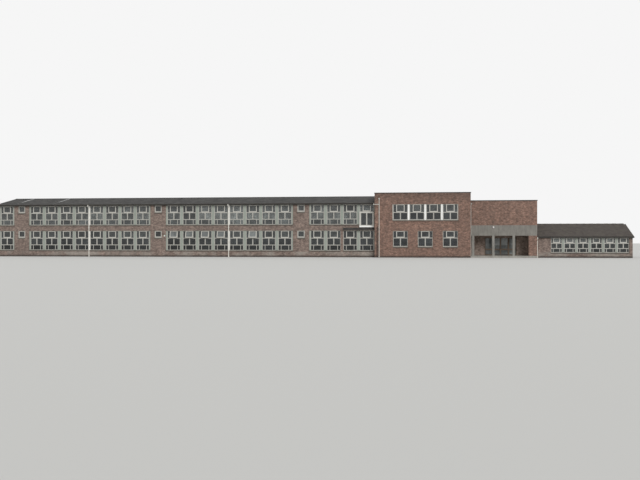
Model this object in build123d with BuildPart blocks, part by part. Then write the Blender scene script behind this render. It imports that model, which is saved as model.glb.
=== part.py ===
from build123d import *
from collections import namedtuple
from math import cos, radians, tan
import os

os.makedirs("parts", exist_ok=True)

# A two-storey school of about 1955, modelled at half its real size, in millimetres.
# The long front faces -Y, +X runs to the right along it, and the ground is z = 0.
# From left to right stand the classroom wing, the stair tower, the link over the
# entrance porch, and a single-storey range.

# Walls and floors
wall = 140
ground_slab = 115
floor_slab = 75
storey = 1600

# Classroom wing: bays of one window and one panel in long bands, with brick piers between
module = 1016
wing_depth = 5100
band_bays = (1, 8, 8, 4)
sill_height = 270
band_height = 1255
top_row = 460
middle_row = 445
bay_panel = 160
white_panel_width = 95
pier_window = 480
wing_pitch = 11
wing_roof_thickness = 70
wing_eaves_overhang = 150
wall_plate = 50
verge_overhang = 60
roof_joint_bays = (0.6, 3.1)
roof_joint_width = 60
roof_joint_height = 15

# Landing window, a white box that stands out of the last upper bay, and the hood below it
landing_flange = 20
landing_reach = 60
landing_drop = 130
landing_border = 65
landing_foot = 87
landing_mullion = 30
hood_bays = 2
hood_projection = 150
hood_thickness = 80
hood_gap = 36

# Stair tower
tower_projection = 450
tower_left_margin = 1080
tower_right_margin = 725
tower_bays = 4
tower_window = 886
tower_panel = 105
tower_strip_border = 30
tower_strip_sill = 2225
tower_strip_height = 985
tower_strip_top_row = 485
tower_low_windows = 3
tower_low_window = 890
tower_low_spacing = 1487
tower_low_sill = 620
tower_low_height = 985
tower_low_top_row = 420
tower_height = 3920
tower_roof_drop = 180

# Link and its porch
link_width = 3900
link_setback = 300
link_height = 3435
link_roof_drop = 120
porch_depth = 1200
porch_head = 1315
porch_beam_height = 620
column_count = 3
column_side = 140
column_arris = 7
column_spacing = 1190
first_column = 160
porch_pier_width = 495
entrance_width = 1900
entrance_height = 1085
entrance_leaves = 4
entrance_rail = 350

# Single-storey range
range_module = 762
range_bays = 6
range_window = 660
range_depth = 3800
range_sill = 285
range_band_height = 915
range_top_row = 330
range_middle_row = 325
range_wall_plate = 40
range_pitch = 20.5
range_roof_thickness = 60
range_eaves_overhang = 120

# Window joinery
frame_width = 28
frame_depth = 50
frame_setback = 45
transom_width = 22
panel_setback = 30
panel_depth = 60
glass_thickness = 6
sill_thickness = 28
sill_fall = 10
sill_projection = 45
sill_drop = 22

# Roof edges, rainwater goods and small fittings
roof_deck = 100
eaves_board = 15
ridge_cap_width = 110
ridge_cap_thickness = 12
gutter_radius = 34
gutter_thickness = 4
gutter_lip = 10
pipe_radius = 22
pipe_neck = 130
branch_inset = 62
branch_drop = 80
pipe_inset = 275
tower_pipe_drop = 120
waste_pipe_gap = 115
waste_pipe_top = 1840
coping_thickness = 40
coping_overhang = 25
lamp_radius = 52
lamp_depth = 50
lamp_bevel = 18
lamp_height = 1320
link_lamp_height = 1820
fit = 0.3

Span = namedtuple("Span", "left right bottom top")
Window = namedtuple("Window", "left right bottom top transoms")
Roof = namedtuple("Roof", "left right front rear wall_top pitch overhang thickness")

# Plan: the origin is the middle of the whole footprint, with its roof edges and gutters
wing_modules = sum(band_bays) + len(band_bays) - 1
wing_length = wall + wing_modules * module
tower_strip_width = (
    tower_bays * tower_window + (tower_bays - 1) * tower_panel + 2 * tower_strip_border
)
tower_width = tower_left_margin + tower_strip_width + tower_right_margin
range_length = (range_bays + 1) * range_module + wall
overall_length = 2 * verge_overhang + wing_length + tower_width + link_width + range_length
gutter_reach = eaves_board + fit + 2 * gutter_radius
rear_reach = wing_eaves_overhang + gutter_reach
tower_reach = max(coping_overhang, sill_projection, 2 * pipe_radius + fit)
front_reach = max(tower_projection + tower_reach, rear_reach)

wing_left = verge_overhang - overall_length / 2
wing_front = (front_reach - wing_depth - rear_reach) / 2
wing_rear = wing_front + wing_depth
tower_left = wing_left + wing_length
tower_right = tower_left + tower_width
tower_front = wing_front - tower_projection
link_right = tower_right + link_width
link_front = tower_front + link_setback
range_right = link_right + range_length
range_front = wing_front
range_rear = range_front + range_depth
link_rear = range_rear
porch_back = link_front + porch_depth

first_floor_soffit = ground_slab + storey - floor_slab
first_floor_top = ground_slab + storey
ground_sill = ground_slab + sill_height
first_sill = first_floor_top + sill_height
ground_head = ground_sill + band_height
first_head = first_sill + band_height
tower_wall_top = tower_height - coping_thickness
link_wall_top = link_height - coping_thickness

wing_face = Plane.XZ.offset(-wing_front)
tower_face = Plane.XZ.offset(-tower_front)
link_face = Plane.XZ.offset(-link_front)
porch_face = Plane.XZ.offset(-porch_back)
range_face = Plane.XZ.offset(-range_front)
wing_middle = Plane.XZ.offset(-(wing_front + wing_rear) / 2)
tower_middle = Plane.XZ.offset(-(tower_front + wing_rear) / 2)
range_middle = Plane.XZ.offset(-(range_front + range_rear) / 2)

wing_roof_form = Roof(
    wing_left - verge_overhang, tower_left, wing_front, wing_rear,
    first_head + wall_plate, wing_pitch, wing_eaves_overhang, wing_roof_thickness,
)
range_roof_form = Roof(
    link_right, range_right + verge_overhang, range_front, range_rear,
    range_sill + range_band_height + range_wall_plate,
    range_pitch, range_eaves_overhang, range_roof_thickness,
)
roofs = (wing_roof_form, range_roof_form)


def save(piece, name):
    piece.part.label = name
    export_step(piece.part, f"parts/{name}.step")


# Facade geometry. A span is an upright rectangle in the plane of a wall.


def rectangles(spans, mode=Mode.ADD):
    """Draws the spans, all those of one size together."""
    sizes = {}
    for span in spans:
        size = (round(span.right - span.left, 6), round(span.top - span.bottom, 6))
        middle = ((span.left + span.right) / 2, (span.bottom + span.top) / 2)
        sizes.setdefault(size, []).append(middle)
    for (width, height), middles in sizes.items():
        with Locations(middles):
            Rectangle(width, height, mode=mode)


def plates(face, setback, depth, spans, openings=()):
    """Flat pieces of one depth, set back from a wall's face, with openings cut through."""
    with BuildPart() as made:
        with BuildSketch(face.offset(-setback)):
            rectangles(spans)
            rectangles(openings, mode=Mode.SUBTRACT)
        extrude(amount=-depth)
    return made.part


def lights(window):
    """The glazed openings of a window, between its frame and its transoms."""
    levels = (window.bottom, *window.transoms, window.top)
    spans = []
    for low, high in zip(levels, levels[1:]):
        bottom = low + (frame_width if low == window.bottom else transom_width / 2)
        top = high - (frame_width if high == window.top else transom_width / 2)
        spans.append(Span(window.left + frame_width, window.right - frame_width, bottom, top))
    return spans


def undivided(windows):
    """The plainer windows of the rear, with one light each."""
    return [window._replace(transoms=()) for window in windows]


def frames(face, windows):
    openings = [light for window in windows for light in lights(window)]
    return plates(face, frame_setback, frame_depth, windows, openings)


def glazing(face, windows):
    panes = [light for window in windows for light in lights(window)]
    setback = frame_setback + (frame_depth - glass_thickness) / 2
    return plates(face, setback, glass_thickness, panes)


def sill(face_y, left, right, level):
    """A weathered sill that lies on the wall, laps over its face and ends in a drip."""
    outside = face_y - sill_projection
    inside = face_y + frame_setback + frame_depth
    with BuildPart() as made:
        with BuildSketch(Plane.YZ.offset(left)):
            with BuildLine():
                Polyline(
                    (inside, level),
                    (inside, level + sill_thickness),
                    (face_y + frame_setback, level + sill_thickness),
                    (outside, level + sill_thickness - sill_fall),
                    (outside, level - sill_drop),
                    (face_y, level - sill_drop),
                    (face_y, level),
                    close=True,
                )
            make_face()
        extrude(amount=right - left)
    return made.part


def box_between(x_range, y_range, z_range):
    """A plain block between two corners."""
    with BuildPart() as made:
        with BuildSketch(Plane.XY.offset(z_range[0])):
            with Locations((sum(x_range) / 2, sum(y_range) / 2)):
                Rectangle(x_range[1] - x_range[0], y_range[1] - y_range[0])
        extrude(amount=z_range[1] - z_range[0])
    return made.part


# The classroom wing's bays


def bay_centre(number):
    return wing_left + wall + (number + 0.5) * module


def band_starts():
    starts = []
    number = 0
    for bays in band_bays:
        starts.append(number)
        number += bays + 1
    return starts


bands = list(zip(band_starts(), band_bays))
bay_numbers = [first + step for first, bays in bands for step in range(bays)]
pier_numbers = [first + bays for first, bays in bands[:-1]]
white_joints = [first + bays // 2 - 1 for first, bays in bands if bays == max(band_bays)]
last_bay = wing_modules - 1
brick_joint = last_bay - hood_bays


def half_panel(joint):
    """Half the width of the panel over the joint between a bay and the next one."""
    return (white_panel_width if joint in white_joints else bay_panel) / 2


def bay_window(number, sill_level):
    left = bay_centre(number) - module / 2 + half_panel(number - 1)
    right = bay_centre(number) + module / 2 - half_panel(number)
    top = sill_level + band_height
    transoms = (top - top_row - middle_row, top - top_row)
    return Window(left, right, sill_level + sill_thickness, top, transoms)


def pier_light(number, sill_level):
    middle = bay_centre(number)
    top = sill_level + band_height
    half = pier_window / 2
    return Window(middle - half, middle + half, top - pier_window + sill_thickness, top, ())


def below_sill(window):
    """The wall opening of a window, with room for the sill under it."""
    return Span(window.left, window.right, window.bottom - sill_thickness, window.top)


def joint_panel(number, sill_level, width_left, width_right):
    """The panel that covers so much to the left and to the right of a joint."""
    joint = bay_centre(number) + module / 2
    bottom = sill_level + sill_thickness
    return Span(joint - width_left, joint + width_right, bottom, sill_level + band_height)


def white_panel(number, sill_level):
    """The full-height panel behind a downpipe, where the sill is left out."""
    panel = joint_panel(number, sill_level, half_panel(number), half_panel(number))
    return panel._replace(bottom=sill_level)


def band_openings(sill_level):
    return [
        Span(
            bay_centre(first) - module / 2, bay_centre(first + bays - 1) + module / 2,
            sill_level, sill_level + band_height,
        )
        for first, bays in bands
    ]


def band_panels(sill_level):
    """Panels inside each band, one between each two windows and a half one at each end."""
    half = bay_panel / 2
    panels = []
    for first, bays in bands:
        last = first + bays - 1
        joints = [number for number in range(first, last) if number not in white_joints]
        panels.append(joint_panel(first - 1, sill_level, 0, half))
        panels += [joint_panel(number, sill_level, half, half) for number in joints]
        panels.append(joint_panel(last, sill_level, half, 0))
    return panels


def wing_windows(sill_level):
    windows = [bay_window(number, sill_level) for number in bay_numbers]
    return windows + [pier_light(number, sill_level) for number in pier_numbers]


def around(spans, gap):
    """The spans that are left where a gap interrupts one of them."""
    kept = []
    for span in spans:
        if span.left < gap.left < span.right:
            kept.append(span._replace(right=gap.left))
            kept.append(span._replace(left=gap.right))
        else:
            kept.append(span)
    return kept


def sill_spans(sill_level, gaps=()):
    """Where the sills of a storey lie: under each opening, but not behind a downpipe."""
    spans = band_openings(sill_level)
    for gap in [white_panel(number, sill_level) for number in white_joints] + list(gaps):
        spans = around(spans, gap)
    return spans + [below_sill(pier_light(number, sill_level)) for number in pier_numbers]


def wing_wall(bottom, sill_level, brick_spans=(), notches=()):
    """One storey of the wing's long wall, up to the window heads."""
    windows = [pier_light(number, sill_level) for number in pier_numbers]
    outline = [Span(wing_left, tower_left, bottom, sill_level + band_height)]
    openings = band_openings(sill_level) + [below_sill(window) for window in windows]
    with BuildPart() as made:
        with BuildSketch(wing_face):
            rectangles(outline)
            rectangles(openings, mode=Mode.SUBTRACT)
            rectangles(brick_spans)
            rectangles(notches, mode=Mode.SUBTRACT)
        extrude(amount=-wall)
    return made.part


brick_post = joint_panel(brick_joint, ground_sill, bay_panel / 2, bay_panel / 2)
brick_post = brick_post._replace(bottom=ground_sill)
landing_bay = bay_window(last_bay, first_sill)
landing_top = first_head - top_row
landing_body = Span(landing_bay.left, landing_bay.right, first_sill - landing_drop, landing_top)

with BuildPart() as wing_front_wall_ground:
    add(wing_wall(0, ground_sill, brick_spans=[brick_post]))
save(wing_front_wall_ground, "wing_front_wall_ground")

with BuildPart() as wing_front_wall_first:
    add(wing_wall(ground_head, first_sill, notches=[landing_body]))
save(wing_front_wall_first, "wing_front_wall_first")

with BuildPart() as wing_rear_wall_ground:
    mirror(wing_wall(0, ground_sill), about=wing_middle)
save(wing_rear_wall_ground, "wing_rear_wall_ground")

with BuildPart() as wing_rear_wall_first:
    mirror(wing_wall(ground_head, first_sill), about=wing_middle)
save(wing_rear_wall_first, "wing_rear_wall_first")

# Wing windows: a frame with two transoms in each bay, and a single light in each pier
front_ground_windows = wing_windows(ground_sill)
landing_head_light = landing_bay._replace(bottom=landing_top, transoms=())
front_first_windows = [
    landing_head_light if window == landing_bay else window for window in wing_windows(first_sill)
]
rear_windows = undivided(wing_windows(ground_sill) + wing_windows(first_sill))

with BuildPart() as wing_front_frames:
    add(frames(wing_face, front_ground_windows + front_first_windows))
save(wing_front_frames, "wing_front_frames")

with BuildPart() as wing_rear_frames:
    mirror(frames(wing_face, rear_windows), about=wing_middle)
save(wing_rear_frames, "wing_rear_frames")

# Landing window: a white box frame with two tall panes, standing out from the wall
landing_half = (landing_body.right - landing_body.left - landing_mullion) / 2 - landing_border
landing_pane = Span(
    landing_body.left + landing_border, landing_body.left + landing_border + landing_half,
    landing_body.bottom + landing_foot, landing_top - landing_border,
)
landing_panes = [
    landing_pane,
    landing_pane._replace(
        left=landing_pane.right + landing_mullion, right=landing_body.right - landing_border
    ),
]
landing_outer = Span(
    landing_body.left - landing_flange, landing_body.right + landing_flange,
    landing_body.bottom - landing_flange, landing_top,
)

with BuildPart() as landing_window_box:
    add(plates(wing_face, 0, frame_setback + frame_depth, [landing_body], landing_panes))
    add(plates(wing_face, -landing_reach, landing_reach, [landing_outer], landing_panes))
save(landing_window_box, "landing_window_box")

with BuildPart() as landing_glass:
    add(plates(wing_face, 0, glass_thickness, landing_panes))
save(landing_glass, "landing_window_glass")

with BuildPart() as wing_front_glass:
    add(glazing(wing_face, front_ground_windows + front_first_windows))
save(wing_front_glass, "wing_front_glass")

with BuildPart() as wing_rear_glass:
    mirror(glazing(wing_face, rear_windows), about=wing_middle)
save(wing_rear_glass, "wing_rear_glass")

# Panels between the windows, pale ones and the white ones behind the downpipes
front_ground_panels = [
    span for span in band_panels(ground_sill) if span.left != brick_post.left
]
front_panels = front_ground_panels + band_panels(first_sill)
rear_panels = band_panels(ground_sill) + band_panels(first_sill)
white_spans = [
    white_panel(number, level) for number in white_joints for level in (ground_sill, first_sill)
]

with BuildPart() as wing_front_panels:
    add(plates(wing_face, panel_setback, panel_depth, front_panels))
save(wing_front_panels, "wing_front_panels")

with BuildPart() as wing_rear_panels:
    mirror(plates(wing_face, panel_setback, panel_depth, rear_panels), about=wing_middle)
save(wing_rear_panels, "wing_rear_panels")

# End wall of the wing, up to the underside of the roof


def underside(roof, y):
    middle = (roof.front + roof.rear) / 2
    inward = abs(roof.front - middle) - abs(y - middle)
    return roof.wall_top + inward * tan(radians(roof.pitch))


def roof_top(roof, y):
    return underside(roof, y) + roof.thickness / cos(radians(roof.pitch))


def prism(points, left, right):
    """A profile in the YZ plane, drawn out along the building."""
    with BuildPart() as made:
        with BuildSketch(Plane.YZ.offset(left)):
            with BuildLine():
                Polyline(*points, close=True)
            make_face()
        extrude(amount=right - left)
    return made.part


def gable_wall(roof, left, right):
    inner_front = roof.front + wall
    inner_rear = roof.rear - wall
    middle = (roof.front + roof.rear) / 2
    outline = [
        (inner_front, 0),
        (inner_rear, 0),
        (inner_rear, underside(roof, inner_rear)),
        (middle, underside(roof, middle)),
        (inner_front, underside(roof, inner_front)),
    ]
    return prism(outline, left, right)


with BuildPart() as wing_end_wall:
    add(gable_wall(wing_roof_form, wing_left, wing_left + wall))
save(wing_end_wall, "wing_end_wall")

# Pitched roofs of the wing and the range


def roof_shell(roof):
    eaves = (roof.front - roof.overhang, roof.rear + roof.overhang)
    middle = (roof.front + roof.rear) / 2
    lower = [(y, underside(roof, y)) for y in (eaves[0], middle, eaves[1])]
    upper = [(y, roof_top(roof, y)) for y in (eaves[1], middle, eaves[0])]
    return prism(lower + upper, roof.left, roof.right)


def plate_beam(roof, head, left, right):
    """The timber plate on a long wall and its window heads, cut to the roof's slope."""
    inside = roof.front + wall
    outline = [
        (roof.front, head),
        (inside, head),
        (inside, underside(roof, inside)),
        (roof.front, underside(roof, roof.front)),
    ]
    return prism(outline, left, right)


def eaves_profile(roof):
    """Fascia and soffit in one L, hung on the edge of the roof."""
    edge = roof.front - roof.overhang
    soffit = underside(roof, edge) - eaves_board
    outline = [
        (roof.front, soffit),
        (edge - eaves_board, soffit),
        (edge - eaves_board, roof_top(roof, edge)),
        (edge, roof_top(roof, edge)),
        (edge, soffit + eaves_board),
        (roof.front, soffit + eaves_board),
    ]
    return prism(outline, roof.left, roof.right)


def gutter_line(roof):
    """Y of a front gutter's middle, and Z of its rim."""
    edge = roof.front - roof.overhang
    return edge - eaves_board - fit - gutter_radius, roof_top(roof, edge) - gutter_lip


def gutter(roof):
    y, rim = gutter_line(roof)
    with BuildPart() as made:
        with BuildSketch(Plane.YZ.offset(roof.left)):
            with Locations((y, rim)):
                Circle(gutter_radius)
                Circle(gutter_radius - gutter_thickness, mode=Mode.SUBTRACT)
                Rectangle(
                    2 * gutter_radius, gutter_radius,
                    align=(Align.CENTER, Align.MIN), mode=Mode.SUBTRACT,
                )
        extrude(amount=roof.right - roof.left)
    return made.part


def ridge_cap(roof):
    middle = (roof.front + roof.rear) / 2
    ys = (middle - ridge_cap_width, middle, middle + ridge_cap_width)
    lower = [(y, roof_top(roof, y)) for y in ys]
    upper = [(y, roof_top(roof, y) + ridge_cap_thickness) for y in reversed(ys)]
    return prism(lower + upper, roof.left, roof.right)


def across(roof):
    """The upright plane that halves a roof along its ridge."""
    return Plane.XZ.offset(-(roof.front + roof.rear) / 2)


with BuildPart() as wing_roof:
    add(roof_shell(wing_roof_form))
save(wing_roof, "wing_roof")

with BuildPart() as range_roof:
    add(roof_shell(range_roof_form))
save(range_roof, "range_roof")

plate_runs = (
    plate_beam(wing_roof_form, first_head, wing_left, tower_left),
    plate_beam(range_roof_form, range_sill + range_band_height, link_right, range_right),
)
with BuildPart() as roof_wall_plates:
    for roof, beam in zip(roofs, plate_runs):
        add(beam)
        mirror(beam, about=across(roof))
save(roof_wall_plates, "roof_wall_plates")

eaves_runs = [eaves_profile(roof) for roof in roofs]
with BuildPart() as eaves_boards:
    for roof, run in zip(roofs, eaves_runs):
        add(run)
        mirror(run, about=across(roof))
save(eaves_boards, "eaves_boards")

gutter_runs = [gutter(roof) for roof in roofs]
with BuildPart() as rain_gutters:
    for roof, run in zip(roofs, gutter_runs):
        add(run)
        mirror(run, about=across(roof))
save(rain_gutters, "rain_gutters")

with BuildPart() as ridge_caps:
    add([ridge_cap(roof) for roof in roofs])
save(ridge_caps, "ridge_caps")

# Raised joint covers that run up the front slope near its left end


def joint_cover(roof, left):
    eaves = roof.front - roof.overhang
    crown = (roof.front + roof.rear) / 2 - ridge_cap_width
    outline = [
        (eaves, roof_top(roof, eaves)),
        (crown, roof_top(roof, crown)),
        (crown, roof_top(roof, crown) + roof_joint_height),
        (eaves, roof_top(roof, eaves) + roof_joint_height),
    ]
    return prism(outline, left, left + roof_joint_width)


with BuildPart() as roof_joint_strips:
    add([joint_cover(wing_roof_form, bay_centre(bay)) for bay in roof_joint_bays])
save(roof_joint_strips, "roof_joint_strips")

# Stair tower
strip_left = tower_left + tower_left_margin
strip_top = tower_strip_sill + tower_strip_height
strip_pitch = tower_window + tower_panel
strip_middle = strip_left + tower_strip_width / 2
strip_starts = [
    strip_left + tower_strip_border + number * strip_pitch for number in range(tower_bays)
]
strip_windows = [
    Window(
        left, left + tower_window,
        tower_strip_sill + sill_thickness, strip_top, (strip_top - tower_strip_top_row,),
    )
    for left in strip_starts
]
strip_panels = [
    Span(window.right, window.right + tower_panel, window.bottom, window.top)
    for window in strip_windows[:-1]
]
strip_borders = [
    Span(left, left + tower_strip_border, tower_strip_sill + sill_thickness, strip_top)
    for left in (strip_left, strip_left + tower_strip_width - tower_strip_border)
]
low_top = tower_low_sill + tower_low_height
low_windows = [
    Window(
        middle - tower_low_window / 2, middle + tower_low_window / 2,
        tower_low_sill + sill_thickness, low_top, (low_top - tower_low_top_row,),
    )
    for middle in (
        strip_middle + (number - (tower_low_windows - 1) / 2) * tower_low_spacing
        for number in range(tower_low_windows)
    )
]
strip_opening = Span(strip_left, strip_left + tower_strip_width, tower_strip_sill, strip_top)
tower_openings = [strip_opening] + [below_sill(window) for window in low_windows]
tower_outline = [Span(tower_left, tower_right, 0, tower_wall_top)]

with BuildPart() as tower_front_wall:
    add(plates(tower_face, 0, wall, tower_outline, tower_openings))
save(tower_front_wall, "tower_front_wall")

with BuildPart() as tower_rear_wall:
    mirror(tower_front_wall.part, about=tower_middle)
save(tower_rear_wall, "tower_rear_wall")

tower_inside_y = (tower_front + wall, wing_rear - wall)
with BuildPart() as tower_side_walls:
    for left in (tower_left, tower_right - wall):
        add(box_between((left, left + wall), tower_inside_y, (0, tower_wall_top)))
save(tower_side_walls, "tower_side_walls")

tower_windows = strip_windows + low_windows
border_run = plates(tower_face, panel_setback, panel_depth, strip_borders)
with BuildPart() as tower_window_frames:
    add([frames(tower_face, tower_windows), border_run])
    mirror([frames(tower_face, undivided(tower_windows)), border_run], about=tower_middle)
save(tower_window_frames, "tower_window_frames")

with BuildPart() as tower_glass:
    add(glazing(tower_face, tower_windows))
    mirror(glazing(tower_face, undivided(tower_windows)), about=tower_middle)
save(tower_glass, "tower_glass")

wing_white_run = plates(wing_face, panel_setback, panel_depth, white_spans)
tower_white_run = plates(tower_face, panel_setback, panel_depth, strip_panels)
with BuildPart() as white_panels:
    add([wing_white_run, tower_white_run])
    mirror(wing_white_run, about=wing_middle)
    mirror(tower_white_run, about=tower_middle)
save(white_panels, "white_panels")

# Link above and beside the entrance porch
link_inner_right = link_right - wall

with BuildPart() as link_front_wall:
    add(
        plates(
            link_face, 0, wall,
            [Span(tower_right, link_right, porch_head + porch_beam_height, link_wall_top)],
        )
    )
save(link_front_wall, "link_front_wall")

with BuildPart() as link_rear_wall:
    add(
        box_between(
            (tower_right, link_right), (link_rear - wall, link_rear), (0, link_wall_top)
        )
    )
save(link_rear_wall, "link_rear_wall")

with BuildPart() as link_side_wall:
    add(
        box_between(
            (link_inner_right, link_right), (link_front + wall, link_rear - wall),
            (0, link_wall_top),
        )
    )
save(link_side_wall, "link_side_wall")

with BuildPart() as porch_beam:
    add(
        plates(
            link_face, 0, wall,
            [Span(tower_right, link_right, porch_head, porch_head + porch_beam_height)],
        )
    )
save(porch_beam, "porch_beam")

column_middles = [
    (tower_right + first_column + step * column_spacing, link_front + wall / 2)
    for step in range(column_count)
]
with BuildPart() as porch_columns:
    with BuildSketch(Plane.XY.offset(ground_slab)):
        with Locations(column_middles):
            Rectangle(column_side, column_side)
    extrude(amount=porch_head - ground_slab)
    chamfer(porch_columns.edges().filter_by(Axis.Z), length=column_arris)
save(porch_columns, "porch_columns")

with BuildPart() as porch_pier:
    add(
        plates(
            link_face, 0, wall,
            [Span(link_right - porch_pier_width, link_right, ground_slab, porch_head)],
        )
    )
save(porch_pier, "porch_pier")

entrance_left = (tower_right + link_inner_right - entrance_width) / 2
entrance_top = ground_slab + entrance_height
leaf_width = entrance_width / entrance_leaves
entrance_lights = [
    Window(
        entrance_left + number * leaf_width, entrance_left + (number + 1) * leaf_width,
        ground_slab, entrance_top, (ground_slab + entrance_rail,),
    )
    for number in range(entrance_leaves)
]
entrance_opening = Span(entrance_left, entrance_left + entrance_width, ground_slab, entrance_top)

with BuildPart() as porch_back_wall:
    add(
        plates(
            porch_face, 0, wall,
            [Span(tower_right, link_inner_right, ground_slab, first_floor_soffit)],
            [entrance_opening],
        )
    )
save(porch_back_wall, "porch_back_wall")

with BuildPart() as entrance_screen:
    add(frames(porch_face, entrance_lights))
save(entrance_screen, "entrance_screen")

with BuildPart() as entrance_glass:
    add(glazing(porch_face, entrance_lights))
save(entrance_glass, "entrance_glass")

# Single-storey range
range_head = range_sill + range_band_height
range_transoms = (range_head - range_top_row - range_middle_row, range_head - range_top_row)
range_windows = [
    Window(
        middle - range_window / 2, middle + range_window / 2,
        range_sill + sill_thickness, range_head, range_transoms,
    )
    for middle in (link_right + (number + 1.5) * range_module for number in range(range_bays))
]
range_opening = Span(range_windows[0].left, range_windows[-1].right, range_sill, range_head)
range_panels = [
    Span(window.right, following.left, window.bottom, window.top)
    for window, following in zip(range_windows, range_windows[1:])
]

with BuildPart() as range_front_wall:
    add(
        plates(
            range_face, 0, wall,
            [Span(link_right, range_right, 0, range_head)], [range_opening],
        )
    )
save(range_front_wall, "range_front_wall")

with BuildPart() as range_rear_wall:
    mirror(range_front_wall.part, about=range_middle)
save(range_rear_wall, "range_rear_wall")

with BuildPart() as range_end_wall:
    add(gable_wall(range_roof_form, range_right - wall, range_right))
save(range_end_wall, "range_end_wall")

with BuildPart() as range_window_frames:
    add(frames(range_face, range_windows))
    mirror(frames(range_face, undivided(range_windows)), about=range_middle)
save(range_window_frames, "range_window_frames")

range_panel_run = plates(range_face, panel_setback, panel_depth, range_panels)
with BuildPart() as range_window_panels:
    add(range_panel_run)
    mirror(range_panel_run, about=range_middle)
save(range_window_panels, "range_window_panels")

with BuildPart() as range_glass:
    add(glazing(range_face, range_windows))
    mirror(glazing(range_face, undivided(range_windows)), about=range_middle)
save(range_glass, "range_glass")

# Sills under every window and band
wing_rear_sills = [
    sill(wing_front, span.left, span.right, span.bottom)
    for level in (ground_sill, first_sill) for span in sill_spans(level)
]
wing_front_sills = [
    sill(wing_front, span.left, span.right, span.bottom)
    for span in sill_spans(ground_sill, [brick_post]) + sill_spans(first_sill, [landing_outer])
]
tower_sills = [
    sill(tower_front, span.left, span.right, span.bottom) for span in tower_openings
]
range_sills = sill(range_front, range_opening.left, range_opening.right, range_sill)

with BuildPart() as wing_sills:
    add(wing_front_sills)
    mirror(wing_rear_sills, about=wing_middle)
save(wing_sills, "wing_sills")

with BuildPart() as tower_and_range_sills:
    add(tower_sills)
    mirror(tower_sills, about=tower_middle)
    add(range_sills)
    mirror(range_sills, about=range_middle)
save(tower_and_range_sills, "tower_and_range_sills")

# Floors and flat roofs, each fitted between its walls
wing_inside_y = (wing_front + wall, wing_rear - wall)
wing_inside_x = (wing_left + wall, tower_left)
tower_inside_x = (tower_left + wall, tower_right - wall)
link_inside_y = (link_front + wall, link_rear - wall)
link_inside_x = (tower_right, link_inner_right)

with BuildPart() as ground_floor_slabs:
    add(box_between(wing_inside_x, wing_inside_y, (0, ground_slab)))
    add(box_between(tower_inside_x, tower_inside_y, (0, ground_slab)))
    add(box_between(link_inside_x, link_inside_y, (0, ground_slab)))
    add(box_between((tower_right, link_right), (link_front, link_front + wall), (0, ground_slab)))
    add(
        box_between(
            (link_right, range_right - wall), (range_front + wall, range_rear - wall),
            (0, ground_slab),
        )
    )
save(ground_floor_slabs, "ground_floor_slabs")

first_floor_levels = (first_floor_soffit, first_floor_top)
with BuildPart() as first_floor_slabs:
    add(box_between(wing_inside_x, wing_inside_y, first_floor_levels))
    add(box_between(tower_inside_x, tower_inside_y, first_floor_levels))
    add(box_between(link_inside_x, link_inside_y, first_floor_levels))
save(first_floor_slabs, "first_floor_slabs")

tower_deck_top = tower_wall_top - tower_roof_drop
link_deck_top = link_wall_top - link_roof_drop
with BuildPart() as flat_roof_decks:
    add(box_between(tower_inside_x, tower_inside_y, (tower_deck_top - roof_deck, tower_deck_top)))
    add(box_between(link_inside_x, link_inside_y, (link_deck_top - roof_deck, link_deck_top)))
save(flat_roof_decks, "flat_roof_decks")

# Copings on the parapets of the tower and the link
tower_coping_outer = (
    (tower_left - coping_overhang, tower_right + coping_overhang),
    (tower_front - coping_overhang, wing_rear + coping_overhang),
)
coping_width = wall + 2 * coping_overhang
with BuildPart() as parapet_copings:
    with BuildSketch(Plane.XY.offset(tower_wall_top)):
        with Locations([(sum(tower_coping_outer[0]) / 2, sum(tower_coping_outer[1]) / 2)]):
            Rectangle(
                tower_width + 2 * coping_overhang,
                tower_projection + wing_depth + 2 * coping_overhang,
            )
            Rectangle(
                tower_width + 2 * coping_overhang - 2 * coping_width,
                tower_projection + wing_depth + 2 * coping_overhang - 2 * coping_width,
                mode=Mode.SUBTRACT,
            )
    extrude(amount=coping_thickness)
    with BuildSketch(Plane.XY.offset(link_wall_top)):
        with Locations([(tower_right, (link_front + link_rear) / 2)]):
            Rectangle(
                link_width + coping_overhang, link_rear - link_front + 2 * coping_overhang,
                align=(Align.MIN, Align.CENTER),
            )
            Rectangle(
                link_width + coping_overhang - coping_width,
                link_rear - link_front + 2 * coping_overhang - 2 * coping_width,
                align=(Align.MIN, Align.CENTER), mode=Mode.SUBTRACT,
            )
    extrude(amount=coping_thickness)
save(parapet_copings, "parapet_copings")

# Hood over the last two ground-floor bays of the wing's front
hood_left = bay_centre(last_bay - hood_bays + 1) - (module - bay_panel) / 2
hood_bottom = ground_head + hood_gap
with BuildPart() as window_hood:
    add(
        plates(
            wing_face, -hood_projection, hood_projection,
            [Span(hood_left, tower_left, hood_bottom, hood_bottom + hood_thickness)],
        )
    )
save(window_hood, "window_hood")

# Rainwater pipes, each from its gutter or roof down to the ground
wing_gutter_y, wing_gutter_rim = gutter_line(wing_roof_form)
range_gutter_y, range_gutter_rim = gutter_line(range_roof_form)
stand_off = pipe_radius + fit


def necked_run(roof, x, wall_y):
    """From under a gutter, back to the wall in a swan neck, and down to the ground."""
    y, rim = gutter_line(roof)
    edge = roof.front - roof.overhang
    soffit = underside(roof, edge) - eaves_board
    turn = soffit - pipe_radius
    return [
        (x, y, rim - gutter_radius),
        (x, y, turn - pipe_radius),
        (x, wall_y - stand_off, turn - pipe_radius - pipe_neck),
        (x, wall_y - stand_off, 0),
    ]


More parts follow.
